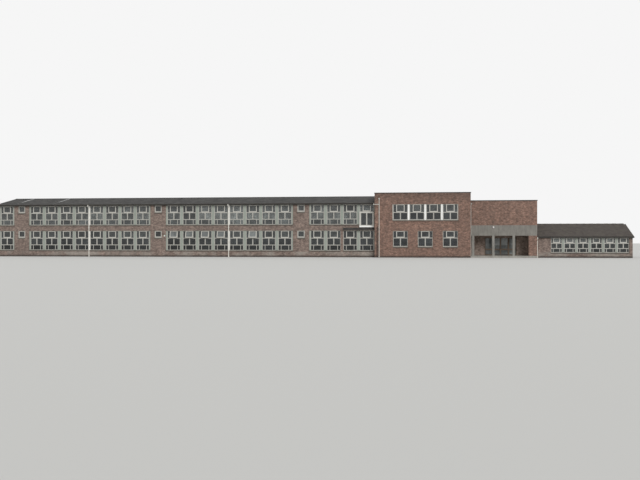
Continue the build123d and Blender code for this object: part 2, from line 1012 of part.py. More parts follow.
tower_pipe_x = tower_left + pipe_inset
tower_pipe_y = tower_front - stand_off
tower_pipe_top = tower_deck_top - tower_pipe_drop
branch_x = tower_left - branch_inset
branch_z = wing_gutter_rim - gutter_radius - branch_drop
wing_pipe_runs = [
    necked_run(wing_roof_form, bay_centre(number) + module / 2, wing_front)
    for number in white_joints
]
corner_pipe_runs = [
    [(tower_pipe_x, tower_pipe_y, tower_pipe_top), (tower_pipe_x, tower_pipe_y, 0)],
    [
        (branch_x, wing_gutter_y, wing_gutter_rim - gutter_radius),
        (branch_x, wing_gutter_y, branch_z),
        (branch_x, tower_pipe_y, branch_z),
        (tower_pipe_x, tower_pipe_y, branch_z),
    ],
    [
        (tower_right + stand_off, link_front - stand_off, link_deck_top),
        (tower_right + stand_off, link_front - stand_off, 0),
    ],
    necked_run(range_roof_form, link_right + stand_off, range_front),
]


def pipe(run):
    with BuildPart() as made:
        with BuildLine():
            Polyline(*run)
        with BuildSketch(Plane(origin=run[0], z_dir=(0, 0, -1))):
            Circle(pipe_radius)
        sweep(transition=Transition.RIGHT)
    return made.part


wing_pipes = [pipe(run) for run in wing_pipe_runs]
corner_pipes = [pipe(run) for run in corner_pipe_runs]
with BuildPart() as downpipes:
    add(wing_pipes)
    mirror(wing_pipes, about=wing_middle)
    add(corner_pipes)
save(downpipes, "downpipes")

# The waste pipe beside the tower's rainwater pipe
waste_pipe_x = tower_pipe_x - waste_pipe_gap
with BuildPart() as waste_pipe:
    add(pipe([(waste_pipe_x, tower_pipe_y, waste_pipe_top), (waste_pipe_x, tower_pipe_y, 0)]))
save(waste_pipe, "waste_pipe")

# Round bulkhead lamps, one on a wing pier and one over the porch
lamp_places = (
    (wing_face, bay_centre(pier_numbers[1]) + module / 2 - 1.5 * lamp_radius, lamp_height),
    (link_face, column_middles[1][0], link_lamp_height),
)
with BuildPart() as wall_lamps:
    for face, x, z in lamp_places:
        with BuildSketch(face):
            with Locations((x, z)):
                Circle(lamp_radius)
        extrude(amount=lamp_depth)
        outer_rim = faces().sort_by(Axis.Y)[0].edges()
        chamfer(outer_rim, length=lamp_bevel)
save(wall_lamps, "wall_lamps")
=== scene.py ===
from math import cos, pi, radians, sin, tan

import bmesh
import bpy
from mathutils import Matrix, Vector


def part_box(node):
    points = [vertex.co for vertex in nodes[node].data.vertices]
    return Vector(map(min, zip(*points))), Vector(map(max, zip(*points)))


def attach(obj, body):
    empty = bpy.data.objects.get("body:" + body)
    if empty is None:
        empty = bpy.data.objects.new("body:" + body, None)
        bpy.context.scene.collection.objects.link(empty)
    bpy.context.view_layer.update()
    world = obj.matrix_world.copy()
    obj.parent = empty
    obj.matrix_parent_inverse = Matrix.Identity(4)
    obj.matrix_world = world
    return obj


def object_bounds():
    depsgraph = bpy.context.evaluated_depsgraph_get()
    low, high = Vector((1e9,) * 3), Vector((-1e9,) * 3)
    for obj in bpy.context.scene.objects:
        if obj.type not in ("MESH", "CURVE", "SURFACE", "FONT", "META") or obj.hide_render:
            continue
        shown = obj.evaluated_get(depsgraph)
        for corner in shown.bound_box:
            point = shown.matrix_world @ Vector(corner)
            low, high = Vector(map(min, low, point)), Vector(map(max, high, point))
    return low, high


# A two-storey brick school of about 1955 at half its real size, in metres. The long front faces -Y.
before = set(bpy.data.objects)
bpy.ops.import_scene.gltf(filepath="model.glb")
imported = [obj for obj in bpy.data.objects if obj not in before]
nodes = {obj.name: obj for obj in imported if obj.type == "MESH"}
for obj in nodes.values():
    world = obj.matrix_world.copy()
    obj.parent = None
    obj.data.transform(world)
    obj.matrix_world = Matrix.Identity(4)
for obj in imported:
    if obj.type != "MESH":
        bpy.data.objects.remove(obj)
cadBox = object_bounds()
print("frame loaded:", len(nodes), "nodes")


# Tools for making shapes


def moveTo(x, y, z, turn=0):
    return Matrix.Translation((x, y, z)) @ Matrix.Rotation(turn, 4, "Z")


def takeArrises(bm, edges, width):
    bmesh.ops.bevel(
        bm, geom=edges, offset=width, affect="EDGES", segments=1, profile=0.5, material=-1
    )


def pullOut(bm, faces, way):
    pulled = bmesh.ops.extrude_face_region(bm, geom=faces)["geom"]
    drawn = [item for item in pulled if isinstance(item, bmesh.types.BMVert)]
    bmesh.ops.translate(bm, vec=way, verts=drawn)


def addBlock(bm, low, high, arris=0):
    # a squared length of timber, stone or metal between two corners
    low, high = Vector(low), Vector(high)
    place = Matrix.Translation((low + high) / 2) @ Matrix.Diagonal((*(high - low), 1))
    verts = bmesh.ops.create_cube(bm, size=1, matrix=place)["verts"]
    if arris:
        edges = dict.fromkeys(edge for vert in verts for edge in vert.link_edges)
        takeArrises(bm, list(edges), arris)


def addSash(bm, left, right, bottom, top, front, sash):
    # a face inset to a ring and drawn back, with its arrises taken off and a slope of putty inside
    corners = ((left, bottom), (right, bottom), (right, top), (left, top))
    pane = bm.faces.new([bm.verts.new((x, front, z)) for x, z in corners])
    pane.normal_update()
    ring = bmesh.ops.inset_region(
        bm, faces=[pane], thickness=sash["stile"], use_boundary=True, use_even_offset=True
    )["faces"]
    for vert in pane.verts:
        if vert.co.z < (bottom + top) / 2:
            vert.co.z += sash["foot"]
    putty = pane.edges[:]
    arrises = [edge for part in ring for edge in part.edges if edge.is_boundary]
    bmesh.ops.delete(bm, geom=[pane], context="FACES_ONLY")
    pullOut(bm, ring, (0, sash["depth"], 0))
    takeArrises(bm, arrises, sash["arris"])
    takeArrises(bm, putty, sash["putty"])


def addRod(bm, start, end, radius, sides=12):
    # a round bar or collar between two points
    start, end = Vector(start), Vector(end)
    along = end - start
    turn = along.to_track_quat("Z", "Y").to_matrix().to_4x4()
    bmesh.ops.create_cone(
        bm, cap_ends=True, segments=sides, radius1=radius, radius2=radius,
        depth=along.length, matrix=Matrix.Translation((start + end) / 2) @ turn,
    )


def addBall(bm, middle, radius):
    bmesh.ops.create_uvsphere(
        bm, u_segments=14, v_segments=8, radius=radius, matrix=Matrix.Translation(middle)
    )


def moveNew(bm, known, place):
    # what was drawn after the known points goes to its place
    fresh = [vert for vert in bm.verts if vert not in known]
    bmesh.ops.transform(bm, matrix=place, verts=fresh)


def addRing(bm, place, profile, axis, angle, steps):
    # a strip spun part of the way or all the way round an axis
    known = set(bm.verts)
    strip = bm.faces.new([bm.verts.new((x, y, 0)) for x, y in profile])
    bmesh.ops.spin(
        bm, geom=[strip], cent=(0, 0, 0), axis=axis, angle=angle, steps=steps,
        use_merge=angle == 2 * pi,
    )
    moveNew(bm, known, place)


def addHalfRing(bm, place, radius, thickness, length, angle):
    # half round the X axis, over the top or under it
    inner = radius - thickness
    profile = ((0, radius), (length, radius), (length, inner), (0, inner))
    addRing(bm, place, profile, (1, 0, 0), angle, 8)


def copyTo(bm, places):
    # the shape drawn so far, once at each place
    shape = bm.verts[:] + bm.edges[:] + bm.faces[:]
    pattern = bm.verts[:]
    for place in places:
        copied = bmesh.ops.duplicate(bm, geom=shape)["geom"]
        verts = [item for item in copied if isinstance(item, bmesh.types.BMVert)]
        bmesh.ops.transform(bm, matrix=place, verts=verts)
    bmesh.ops.delete(bm, geom=pattern, context="VERTS")
    return bm


def finishPiece(name, shapes, material, slot, smooth=False):
    # joins the shapes into one object that rides on the building
    mesh = bpy.data.meshes.new(name)
    joined = bmesh.new()
    for bm in shapes:
        bmesh.ops.recalc_face_normals(bm, faces=bm.faces)
        bm.to_mesh(mesh)
        joined.from_mesh(mesh)
        bm.free()
    joined.to_mesh(mesh)
    joined.free()
    if smooth:
        mesh.polygons.foreach_set("use_smooth", [True] * len(mesh.polygons))
        mesh.set_sharp_from_angle(angle=radians(35))
    mesh.materials.append(material)
    piece = bpy.data.objects.new(name, mesh)
    bpy.context.scene.collection.objects.link(piece)
    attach(piece, "root")
    return piece


# Tools for materials. Those that make a node of one result return its socket.


def paint(code):
    # a hex sRGB colour as the linear one that the shader takes
    parts = [int(code[place:place + 2], 16) / 255 for place in (1, 3, 5)]
    linear = [
        part / 12.92 if part <= 0.04045 else ((part + 0.055) / 1.055) ** 2.4 for part in parts
    ]
    return (*linear, 1)


def perMetre(millimetres):
    # the scale at which a pattern repeats once in that length
    return 1000 / millimetres


def addNode(tree, kind, inputs=None, **settings):
    # an input is given another node's socket, a hex colour or a plain value
    node = tree.nodes.new("ShaderNode" + kind)
    for name, value in settings.items():
        setattr(node, name, value)
    for name, value in (inputs or {}).items():
        if isinstance(value, bpy.types.NodeSocket):
            tree.links.new(value, node.inputs[name])
        else:
            node.inputs[name].default_value = paint(value) if isinstance(value, str) else value
    return node


def calculate(tree, operation, *values):
    return addNode(tree, "Math", dict(enumerate(values)), operation=operation).outputs[0]


def shade(tree, colour, factor):
    # a colour made darker or lighter by that factor
    return addNode(tree, "VectorMath", {0: colour, "Scale": factor}, operation="SCALE").outputs[0]


def blend(tree, share, under, over):
    # that share of one colour over another: a colour Mix takes them at 6 and 7 and gives one at 2
    return addNode(tree, "Mix", {0: share, 6: under, 7: over}, data_type="RGBA").outputs[2]


def mapRange(tree, value, start, end, least=0, most=1):
    # least where the value is at its start, most where it is at its end
    limits = {"From Min": start, "From Max": end, "To Min": least, "To Max": most}
    return addNode(tree, "MapRange", {"Value": value, **limits}).outputs[0]


def axesOf(tree, place):
    return addNode(tree, "SeparateXYZ", {0: place}).outputs


def stretch(tree, place, across, down):
    # the place counted in units of so many millimetres across and down
    scale = (perMetre(across), perMetre(across), perMetre(down))
    return addNode(tree, "Mapping", {"Vector": place, "Scale": scale}).outputs[0]


def noise(tree, place, size, detail, roughness=0.5):
    # a cloud pattern of that many millimetres
    inputs = {"Vector": place, "Scale": perMetre(size), "Detail": detail, "Roughness": roughness}
    return addNode(tree, "TexNoise", inputs).outputs[0]


def patches(tree, place, size, thin, full, most, least=0, detail=5):
    # clouds, from least where they are thin to most where they are full
    return mapRange(tree, noise(tree, place, size, detail, 0.66), thin, full, least, most)


def streaks(tree, place, across, down, most):
    # what the rain draws down a wall
    return patches(tree, stretch(tree, place, across, down), 1000, 0.45, 0.75, most)


def ownTone(tree, *counts):
    # a number from 0 to 1 for every whole cell, counted in one to three directions
    whole = [calculate(tree, "FLOOR", count) for count in counts]
    cell = {"W": whole[0]}
    if len(whole) > 1:
        cell = {"Vector": addNode(tree, "CombineXYZ", dict(enumerate(whole))).outputs[0]}
    return addNode(tree, "TexWhiteNoise", cell, noise_dimensions=f"{len(whole)}D").outputs[0]


def colourSteps(tree, place, axis, steps):
    # hard steps from one colour to the next along an axis, each from its own place on
    start, length = cadBox[0][axis], cadBox[1][axis] - cadBox[0][axis]
    along = mapRange(tree, axesOf(tree, place)[axis], start, cadBox[1][axis])
    ramp = addNode(tree, "ValToRGB", {0: along})
    stops = ramp.color_ramp.elements
    ramp.color_ramp.interpolation = "CONSTANT"
    while len(stops) < len(steps):
        stops.new(1)
    for stop, (level, colour) in zip(stops, steps):
        stop.position = (level - start) / length
        stop.color = paint(colour)
    return ramp.outputs[0]


def startMaterial(name, roughness, **values):
    material = bpy.data.materials.new(name)
    material.use_nodes = True
    tree = material.node_tree
    shader = tree.nodes["Principled BSDF"]
    shader.inputs["Roughness"].default_value = roughness
    for socket, value in values.items():
        shader.inputs[socket.replace("_", " ")].default_value = value
    place = addNode(tree, "TexCoord").outputs["Object"]
    return material, tree, shader, place


def finishSurface(tree, shader, colour, relief, strength, depth):
    # the surface's colour, and its small relief that many metres deep
    tree.links.new(colour, shader.inputs["Base Color"])
    bump = addNode(tree, "Bump", {"Height": relief, "Strength": strength, "Distance": depth})
    tree.links.new(bump.outputs[0], shader.inputs["Normal"])


def brickwork(name, light, dark, mortar, lime=None, coping=None):
    # Machine-pressed facing brick laid in stretcher bond: rough, dull, each brick its own shade,
    # with sanded mortar a little paler.
    material, tree, shader, place = startMaterial(name, 0.9)
    axes = axesOf(tree, place)
    along = calculate(tree, "ADD", axes[0], axes[1])
    face = addNode(tree, "CombineXYZ", {0: along, 1: axes[2]}).outputs[0]
    bond = addNode(
        tree, "TexBrick",
        {
            "Vector": face, "Color1": light, "Color2": dark, "Mortar": mortar, "Scale": 1,
            "Mortar Size": brick["joint"] / 2, "Mortar Smooth": 0.3, "Bias": -0.1,
            "Brick Width": brick["length"], "Row Height": brick["course"],
        },
        offset=0.5,
    )
    # kiln batches were mixed on the scaffold: clouds of paler and darker bricks, small over wide
    batch = patches(tree, place, 150, 0.3, 0.7, 1.36, 0.62, detail=3)
    wide = patches(tree, place, 1100, 0.3, 0.7, 1.12, 0.88)
    toned = shade(tree, bond.outputs[0], calculate(tree, "MULTIPLY", batch, wide))
    finished = blend(tree, streaks(tree, place, 220, 1300, 0.35), toned, stains["rain"])
    if lime:
        # lime washed out below the sills, in patches on the lowest courses
        blotch = patches(tree, place, 1500, 0.42, 0.58, 0.45, detail=3)
        low = mapRange(tree, axes[2], 0.36, 0.30)
        finished = blend(tree, calculate(tree, "MULTIPLY", blotch, low), finished, lime)
    edge = noise(tree, place, 300, 4)
    if coping:
        # soot that the rain carries off the coping on to the courses under it
        drip = calculate(tree, "MULTIPLY_ADD", edge, 0.3, axes[2])
        soot = mapRange(tree, drip, coping - 0.45, coping, 0, 0.3)
        finished = blend(tree, soot, finished, stains["soot"])
    # damp and splashed earth on the first courses above the ground, darker still as painted shade
    # where the wall meets the ground
    rise = calculate(tree, "MULTIPLY_ADD", edge, -0.12, axes[2])
    dampAndShade = mapRange(tree, rise, 0.08, 0, 0, 0.85)
    finished = blend(tree, dampAndShade, finished, stains["dampAndShade"])
    relief = calculate(tree, "MULTIPLY_ADD", bond.outputs[1], -1, noise(tree, place, 6, 4))
    finishSurface(tree, shader, finished, relief, 0.6, brick["proud"])
    return material


def paintedWood(name, colour, dirt, roughness=0.42, wear=0.3):
    # Softwood under oil gloss paint, brushed along the grain: a soft sheen, fine brush lines, and
    # dirt held where the rain runs off last.
    material, tree, shader, place = startMaterial(name, roughness)
    aged = blend(tree, patches(tree, place, 700, 0.4, 0.75, wear), colour, dirt)
    finished = blend(tree, streaks(tree, place, 60, 500, wear), aged, dirt)
    lines = noise(tree, stretch(tree, place, 3, 120), 1000, 3)
    finishSurface(tree, shader, finished, lines, 0.25, 0.0008)
    return material


def castConcrete(name, colour, stain, joints=0):
    # Precast concrete from a smooth mould, years outdoors: matt, sandy, pitted with small air
    # holes, streaked dark by the rain. Lengths meet at thin open joints.
    material, tree, shader, place = startMaterial(name, 0.88)
    toned = shade(tree, paint(colour)[:3], patches(tree, place, 450, 0.3, 0.7, 1.12, 0.82))
    finished = blend(tree, streaks(tree, place, 90, 600, 0.6), toned, stain)
    if joints:
        axes = axesOf(tree, place)
        gap = calculate(tree, "WRAP", calculate(tree, "ADD", axes[0], axes[1]), joints, 0)
        inJoint = calculate(tree, "LESS_THAN", gap, 0.006)
        finished = blend(tree, inJoint, finished, stains["joint"])
    sand = noise(tree, place, 9, 6, 0.7)
    pits = addNode(tree, "TexVoronoi", {"Vector": place, "Scale": perMetre(16)}).outputs[0]
    relief = calculate(tree, "MULTIPLY_ADD", mapRange(tree, pits, 0.05, 0.2), 0.5, sand)
    finishSurface(tree, shader, finished, relief, 0.4, 0.001)
    return material


def paintedIron(name, tonesAlongX, rust, roughness):
    # Cast iron under several coats of oil paint: orange-peel gloss, thin at the sockets, with
    # rust bleeding through in small spots. The colour steps along x, each step from its own place
    # on.
    material, tree, shader, place = startMaterial(name, roughness)
    spots = patches(tree, place, 120, 0.6, 0.72, 0.5, detail=8)
    finished = blend(tree, spots, colourSteps(tree, place, 0, tonesAlongX), rust)
    finishSurface(tree, shader, finished, noise(tree, place, 5, 3), 0.2, 0.0008)
    return material


def roofingFelt(name, colour, worn):
    # Bitumen felt dressed with mineral chips: dead matt, speckled, laid in metre-wide strips
    # (half a metre here) and bleached unevenly, each strip its own tone.
    material, tree, shader, place = startMaterial(name, 0.95)
    own = ownTone(tree, calculate(tree, "DIVIDE", axesOf(tree, place)[0], felt["strip"]))
    tone = calculate(tree, "MULTIPLY_ADD", own, 0.16, 0.86)
    chips = noise(tree, place, 5, 4, 0.8)
    speckle = calculate(tree, "MULTIPLY_ADD", chips, 0.3, tone)
    aged = blend(tree, patches(tree, place, 420, 0.4, 0.6, 1, detail=7), colour, worn)
    finishSurface(tree, shader, shade(tree, aged, speckle), chips, 0.6, 0.0015)
    return material


def sheetLead(name, tarred=None):
    # Milled sheet lead: dull blue-grey metal, dressed by hand into soft dents, with a white bloom.
    material, tree, shader, place = startMaterial(name, 0.55, Metallic=0.6)
    bloom = patches(tree, place, 140, 0.35, 0.65, 1, detail=7)
    greyed = blend(tree, bloom, "#a9adb0", "#c9c9c4")
    if tarred:
        # bitumen brushed over it below that level, where the felt was made good
        height = axesOf(tree, place)[2]
        brushed = mapRange(tree, height, tarred, tarred - 0.06, 0, 0.93)
        greyed = blend(tree, brushed, greyed, stains["tar"])
        bare = mapRange(tree, height, tarred, tarred - 0.06, 0.6, 0)
        tree.links.new(bare, shader.inputs["Metallic"])
    finishSurface(tree, shader, greyed, noise(tree, place, 60, 3), 0.4, 0.004)
    return material


def sandedTile(name, light, dark, lichen):
    # Concrete interlocking tile with a sanded face: matt grey-brown, every tile a little
    # different, lichen in the laps.
    material, tree, shader, place = startMaterial(name, 0.9)
    axes = axesOf(tree, place)
    column = calculate(tree, "DIVIDE", axes[0], tiles["cover"])
    course = calculate(tree, "DIVIDE", axes[2], tiles["gauge"] * sin(tiles["pitch"]))
    base = blend(tree, ownTone(tree, column, course), dark, light)
    grown = blend(tree, patches(tree, place, 260, 0.52, 0.7, 0.6, detail=8), base, lichen)
    finishSurface(tree, shader, grown, noise(tree, place, 7, 6, 0.7), 0.5, 0.0012)
    return material


def drawnGlass(name, rows, clear, panes, paintedRooms):
    # Drawn sheet glass: a mirror gloss with slow waves from the drawing. Its colour steps with
    # height and from room to room as painted light: paler rows stand for painted reflection of the
    # sky and painted light inside, darker rows for painted shade inside. Each pane has a tone of
    # its own as well.
    material, tree, shader, place = startMaterial(name, 0.04, IOR=1.52, Transmission_Weight=clear)
    # painted light and shade: the colour of each row times that of each room
    row, room = colourSteps(tree, place, 2, rows), colourSteps(tree, place, 0, paintedRooms)
    base = addNode(tree, "VectorMath", {0: row, 1: room}, operation="MULTIPLY").outputs[0]
    axes = axesOf(tree, place)
    fromStart = calculate(tree, "SUBTRACT", axes[0], panes["start"])
    column = calculate(tree, "DIVIDE", fromStart, panes["pitch"])
    above = calculate(tree, "SUBTRACT", axes[2], storeys["floor"])
    storey = calculate(tree, "DIVIDE", above, storeys["height"])
    inStorey = calculate(tree, "FRACT", storey)
    light = calculate(tree, "MULTIPLY_ADD", inStorey, storeys["lights"], -storeys["sill"])
    tone = mapRange(tree, ownTone(tree, column, light, storey), 0, 1, 0.6, 1.5)
    cloud = patches(tree, place, 380, 0.34, 0.66, 1.3, 0.7, detail=2)
    shaded = shade(tree, base, calculate(tree, "MULTIPLY", tone, cloud))
    waves = noise(tree, stretch(tree, place, 500, 220), 1000, 1)
    finishSurface(tree, shader, shaded, waves, 0.25, 0.004)
    return material


def opalGlass(name):
    # Pressed opal glass of a bulkhead lamp: milky white with a wet gloss and faint moulding rings.
    material, tree, shader, place = startMaterial(name, 0.15, Subsurface_Weight=0.3)
    inputs = {"Vector": place, "Scale": perMetre(14), "Distortion": 0.4}
    rings = addNode(tree, "TexWave", inputs, wave_type="RINGS").outputs["Fac"]
    finishSurface(tree, shader, blend(tree, rings, "#cfcfca", "#dadad5"), rings, 0.15, 0.001)
    return material


# Where the fronts and rears of the four parts stand, and the sizes that their windows repeat at
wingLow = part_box("wing_front_wall_ground")[0]
wingFront, wingRear = wingLow.y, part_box("wing_rear_wall_ground")[1].y
towerLow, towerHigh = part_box("tower_front_wall")
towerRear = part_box("tower_rear_wall")[1].y
rangeLow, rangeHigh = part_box("range_front_wall")
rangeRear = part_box("range_rear_wall")[1].y
linkLow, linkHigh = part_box("link_front_wall")
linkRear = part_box("link_rear_wall")[1].y
wallThickness = 0.14
wing = {
    "pitch": 1.016, "bands": ((0, 1), (2, 8), (11, 8), (20, 4)), "piers": (1, 10, 19),
    "heads": (1.640, 3.240), "height": 1.255, "sill": 0.028, "panel": 0.16, "whitePanel": 0.095,
    "whiteJoints": (5, 14), "brickJoint": 21, "landing": 23,
}
tower = {
    "stripLeft": 1.08, "border": 0.03, "window": 0.886, "panel": 0.105, "bays": 4,
    "stripHead": 3.21, "stripSill": 2.225, "lowHead": 1.605, "lowSpacing": 1.487, "height": 0.985,
}
stripPitch = tower["window"] + tower["panel"]
stripStart = towerLow.x + tower["stripLeft"] + tower["border"]
rangePart = {"pitch": 0.762, "bays": 6, "head": 1.2, "height": 0.915, "panel": 0.102}

# Coverings and surfaces. Bricks are 215 x 65 mm with 10 mm joints, at half size; the least is the
# narrowest piece that a bricklayer cuts. A storey's lights are three rows above its sill.
brick = {
    "length": 0.1125, "course": 0.0375, "joint": 0.005, "proud": 0.0015, "bed": 0.001,
    "arris": 0.001, "least": 0.008,
}
tiles = {
    "pitch": radians(20.5), "cover": 0.15, "gauge": 0.14, "length": 0.17,
    "thickness": 0.007, "roll": 0.006, "waves": 2, "clear": 0.001,
}
felt = {"strip": 0.5, "pitch": radians(11), "lap": 0.012, "lapHeight": 0.003, "ridge": 0.1}
# the damp colour also serves as painted shade at the foot of the walls
stains = {
    "rain": "#4a443f", "soot": "#3a3531", "dampAndShade": "#3a3531", "joint": "#2c2a28", "tar": "#2b2a29",
}
storeys = {"floor": 0.1, "height": 1.6, "lights": 3.6, "sill": 0.43}
wingPanes = {"start": wingLow.x + wallThickness, "pitch": wing["pitch"]}
towerPanes = {"start": stripStart, "pitch": stripPitch}
rangePanes = {"start": rangeLow.x, "pitch": rangePart["pitch"]}
# each room's glass painted lighter or darker from the bay where it starts: painted light inside
paintedRoomEdges = (
    (-2, "#e6e6e6"), (2, "#d8d8d8"), (5, "#f2f2f2"), (10, "#c4c4c4"), (13, "#ffffff"),
    (19, "#e6e6e6"),
)
wingPaintedRooms = [(wingPanes["start"] + bay * wingPanes["pitch"], tone) for bay, tone in paintedRoomEdges]
oneRoom = ((cadBox[0][0], "#e6e6e6"),)
# glass colour by height: paler rows painted light, darker rows painted shade, eaves' shade on top
paintedGlassRows = {
    "wing": (
        (0, "#404445"), (0.735, "#515657"), (1.18, "#676c6b"), (1.65, "#7b807f"),
        (2.335, "#949896"), (2.78, "#818584"),
    ),
    "tower": ((0, "#4a4f51"), (1.185, "#5b6061"), (1.65, "#565b5c"), (2.725, "#7e8281")),
    "low": ((0, "#5a5f5f"), (0.545, "#5f6464"), (0.87, "#9a9e9c")),
}

wingBrick = brickwork("sandFacedBrick", "#88766d", "#5c4c45", "#8a837a", "#a39f97")
towerBrick = brickwork("rusticRedBrick", "#87685a", "#5a4138", "#8a8278", coping=towerHigh.z)
# a paler copy of the brick for the porch's shaded back wall: painted light
porchLitBrick = brickwork("porchBrickPaintedLight", "#a89488", "#7c685f", "#9c958b")
windowPaint = paintedWood("creamGlossPaint", "#b7b5ae", "#8f8c81", 0.42, 0.22)
landingPaint = paintedWood("ivoryGlossPaint", "#bfbdb6", "#9d9a90", 0.4, 0.22)
panelPaint = paintedWood("paleGreenPaint", "#939990", "#7a7d74", 0.5)
whitePaint = paintedWood("whiteGlossPaint", "#ebebe8", "#d3d1c9", 0.35, 0.2)
darkPaint = paintedWood("darkBrownPaint", "#322e2a", "#211e1c", 0.5)
darkWood = paintedWood("oiledHardwood", "#66533f", "#453528", 0.45, 0.5)
sillConcrete = castConcrete("quarrySill", "#68625a", "#403d38", 0.508)
porchConcrete = castConcrete("precastConcrete", "#7b7872", "#54514a", 1.19)
copingConcrete = castConcrete("copingConcrete", "#36332f", "#23211e", 0.45)
columnConcrete = castConcrete("paintedConcrete", "#87857f", "#63605a")
floorConcrete = castConcrete("floorScreed", "#94918a", "#66635c")
soffitPlaster = castConcrete("distemperedSoffit", "#cfccc4", "#a9a69e")
wingFelt = roofingFelt("mineralFelt", "#272625", "#403f3d")
deckFelt = roofingFelt("deckFelt", "#4f4f4f", "#636360")
gutterIron = paintedIron("greyGutterPaint", ((cadBox[0][0], "#4d4a46"),), "#5a4436", 0.4)
# black waste pipe paint, partly painted shade for the dark strip beside the tower's pale pipe
wasteIronAndShade = paintedIron("blackPipePaintAndShade", ((cadBox[0][0], "#24221f"),), "#4a3a2e", 0.4)
# pipe colour along x: paler on the wing and the range, duller at the tower and the link
pipeToneSteps = ((cadBox[0][0], "#e2dfd6"), (4.6, "#bcb9b1"), (10.3, "#a09d96"), (14.2, "#dedbd2"))
pipeIron = paintedIron("stonePipePaint", pipeToneSteps, "#96806a", 0.38)
leadSheet = sheetLead("milledLead")
tarredLead = sheetLead("tarredLead", tarred=3.56)
tileConcrete = sandedTile("sandedConcreteTile", "#544e49", "#453f3b", "#62604f")
wingGlass = drawnGlass("wingSheetGlass", paintedGlassRows["wing"], 0.72, wingPanes, wingPaintedRooms)
towerGlass = drawnGlass("towerSheetGlass", paintedGlassRows["tower"], 0.72, towerPanes, oneRoom)
lowGlass = drawnGlass("rangeSheetGlass", paintedGlassRows["low"], 0.72, rangePanes, oneRoom)
landingGlass = drawnGlass("landingSheetGlass", ((0, "#5f6465"),), 0.72, wingPanes, oneRoom)
dustyGlass = drawnGlass("dustySheetGlass", ((0, "#767a79"),), 0.3, wingPanes, oneRoom)
obscuredGlass = drawnGlass("rolledDoorGlass", ((0, "#868a88"),), 0.2, wingPanes, oneRoom)
lampGlass = opalGlass("opalGlass")

finishes = {
    wingBrick: (
        "wing_front_wall_ground", "wing_front_wall_first", "wing_rear_wall_ground",
        "wing_rear_wall_first", "wing_end_wall", "range_front_wall", "range_rear_wall",
        "range_end_wall",
    ),
    porchLitBrick: ("porch_back_wall",),
    towerBrick: (
        "tower_front_wall", "tower_rear_wall", "tower_side_walls", "link_front_wall",
        "link_rear_wall", "link_side_wall", "porch_pier",
    ),
    windowPaint: (
        "wing_front_frames", "wing_rear_frames", "tower_window_frames", "range_window_frames",
    ),
    landingPaint: ("landing_window_box",),
    panelPaint: ("wing_front_panels", "wing_rear_panels", "range_window_panels"),
    whitePaint: ("white_panels",),
    # the window hood's dark paint is partly painted shade under it
    darkPaint: ("roof_wall_plates", "eaves_boards", "window_hood"),
    darkWood: ("entrance_screen",),
    sillConcrete: ("wing_sills", "tower_and_range_sills"),
    porchConcrete: ("porch_beam",),
    columnConcrete: ("porch_columns",),
    copingConcrete: ("parapet_copings",),
    floorConcrete: ("ground_floor_slabs",),
    soffitPlaster: ("first_floor_slabs",),
    wingFelt: ("wing_roof", "ridge_caps"),
    deckFelt: ("flat_roof_decks",),
    tileConcrete: ("range_roof",),
    gutterIron: ("rain_gutters",),
    wasteIronAndShade: ("waste_pipe",),
    pipeIron: ("downpipes",),
    tarredLead: ("roof_joint_strips",),
    wingGlass: ("wing_front_glass", "wing_rear_glass"),
    landingGlass: ("landing_window_glass",),
    towerGlass: ("tower_glass",),
    obscuredGlass: ("entrance_glass",),
    lowGlass: ("range_glass",),
    lampGlass: ("wall_lamps",),
}
for material, names in finishes.items():
    for name in names:
        piece = nodes[name]
        if not piece.material_slots:
            piece.data.materials.append(None)
        for holder in piece.material_slots:
            holder.link = "OBJECT"
            holder.material = material
print("finishes on the CAD nodes")

bayNumbers = [first + step for first, count in wing["bands"] for step in range(count)]


def bayX(number):
    return wingLow.x + wallThickness + (number + 0.5) * wing["pitch"]


def jointX(number):
    return bayX(number) + wing["pitch"] / 2


# Window bars and sashes. Every template hangs from the window's head at z = 0, centred on x = 0,
# with the wall's outer face at y = 0 and the room at +y.
joinery = {
    "frame": 0.028, "setback": 0.045, "depth": 0.05, "transom": 0.022, "mullion": 0.03,
    "mullionIn": 0.002, "mullionOut": 0.003, "arris": 0.003, "lap": 0.008, "headLap": 0.026,
    "frameLap": 0.018, "meeting": 0.003, "glass": 0.006, "glassBack": 0.014, "rebate": 0.004,
    "openTilt": radians(17),
}
stay = {"near": 0.02, "far": 0.16, "low": 0.01, "high": 0.05, "radius": 0.004, "sides": 6}
ventSash = {
    "stile": 0.05, "foot": 0.016, "depth": 0.036, "proud": 0.018, "arris": 0.003, "putty": 0.006,
}
casementSash = {
    "stile": 0.028, "foot": 0, "depth": 0.03, "proud": 0.01, "arris": 0.003, "putty": 0.005,
}


def rowLevels(rows):
    # the clear top and bottom of each row of lights, from the head down
    levels = []
    top = 0
    for number, height in enumerate(rows):
        bottom = top - height
        clearTop = top - (joinery["frame"] if number == 0 else joinery["transom"] / 2)
        last = number == len(rows) - 1
        clearBottom = bottom + (joinery["frame"] if last else joinery["transom"] / 2)
        levels.append((clearTop, clearBottom))
        top = bottom
    return levels


def addMullion(bm, x, top, bottom):
    front = joinery["setback"] + joinery["mullionIn"]
    back = front + joinery["depth"] - 2 * joinery["mullionIn"]
    half = joinery["mullion"] / 2
    addBlock(bm, (x - half, front, bottom), (x + half, back, top), joinery["arris"])


def addVentilator(bm, half, top, bottom, tilt=0):
    # a top-hung ventilator that laps over its mullions, shut or propped open on a stay
    front = joinery["setback"] - ventSash["proud"]
    lap = joinery["lap"]
    known = set(bm.verts)
    addSash(bm, -half, half, bottom - top - lap, joinery["headLap"], 0, ventSash)
    if tilt:
        foot = bottom - top
        addRod(
            bm, (0, stay["near"], foot + stay["low"]), (0, stay["far"], foot + stay["high"]),
            stay["radius"], stay["sides"],
        )
    moveNew(bm, known, Matrix.Translation((0, front, top)) @ Matrix.Rotation(-tilt, 4, "X"))


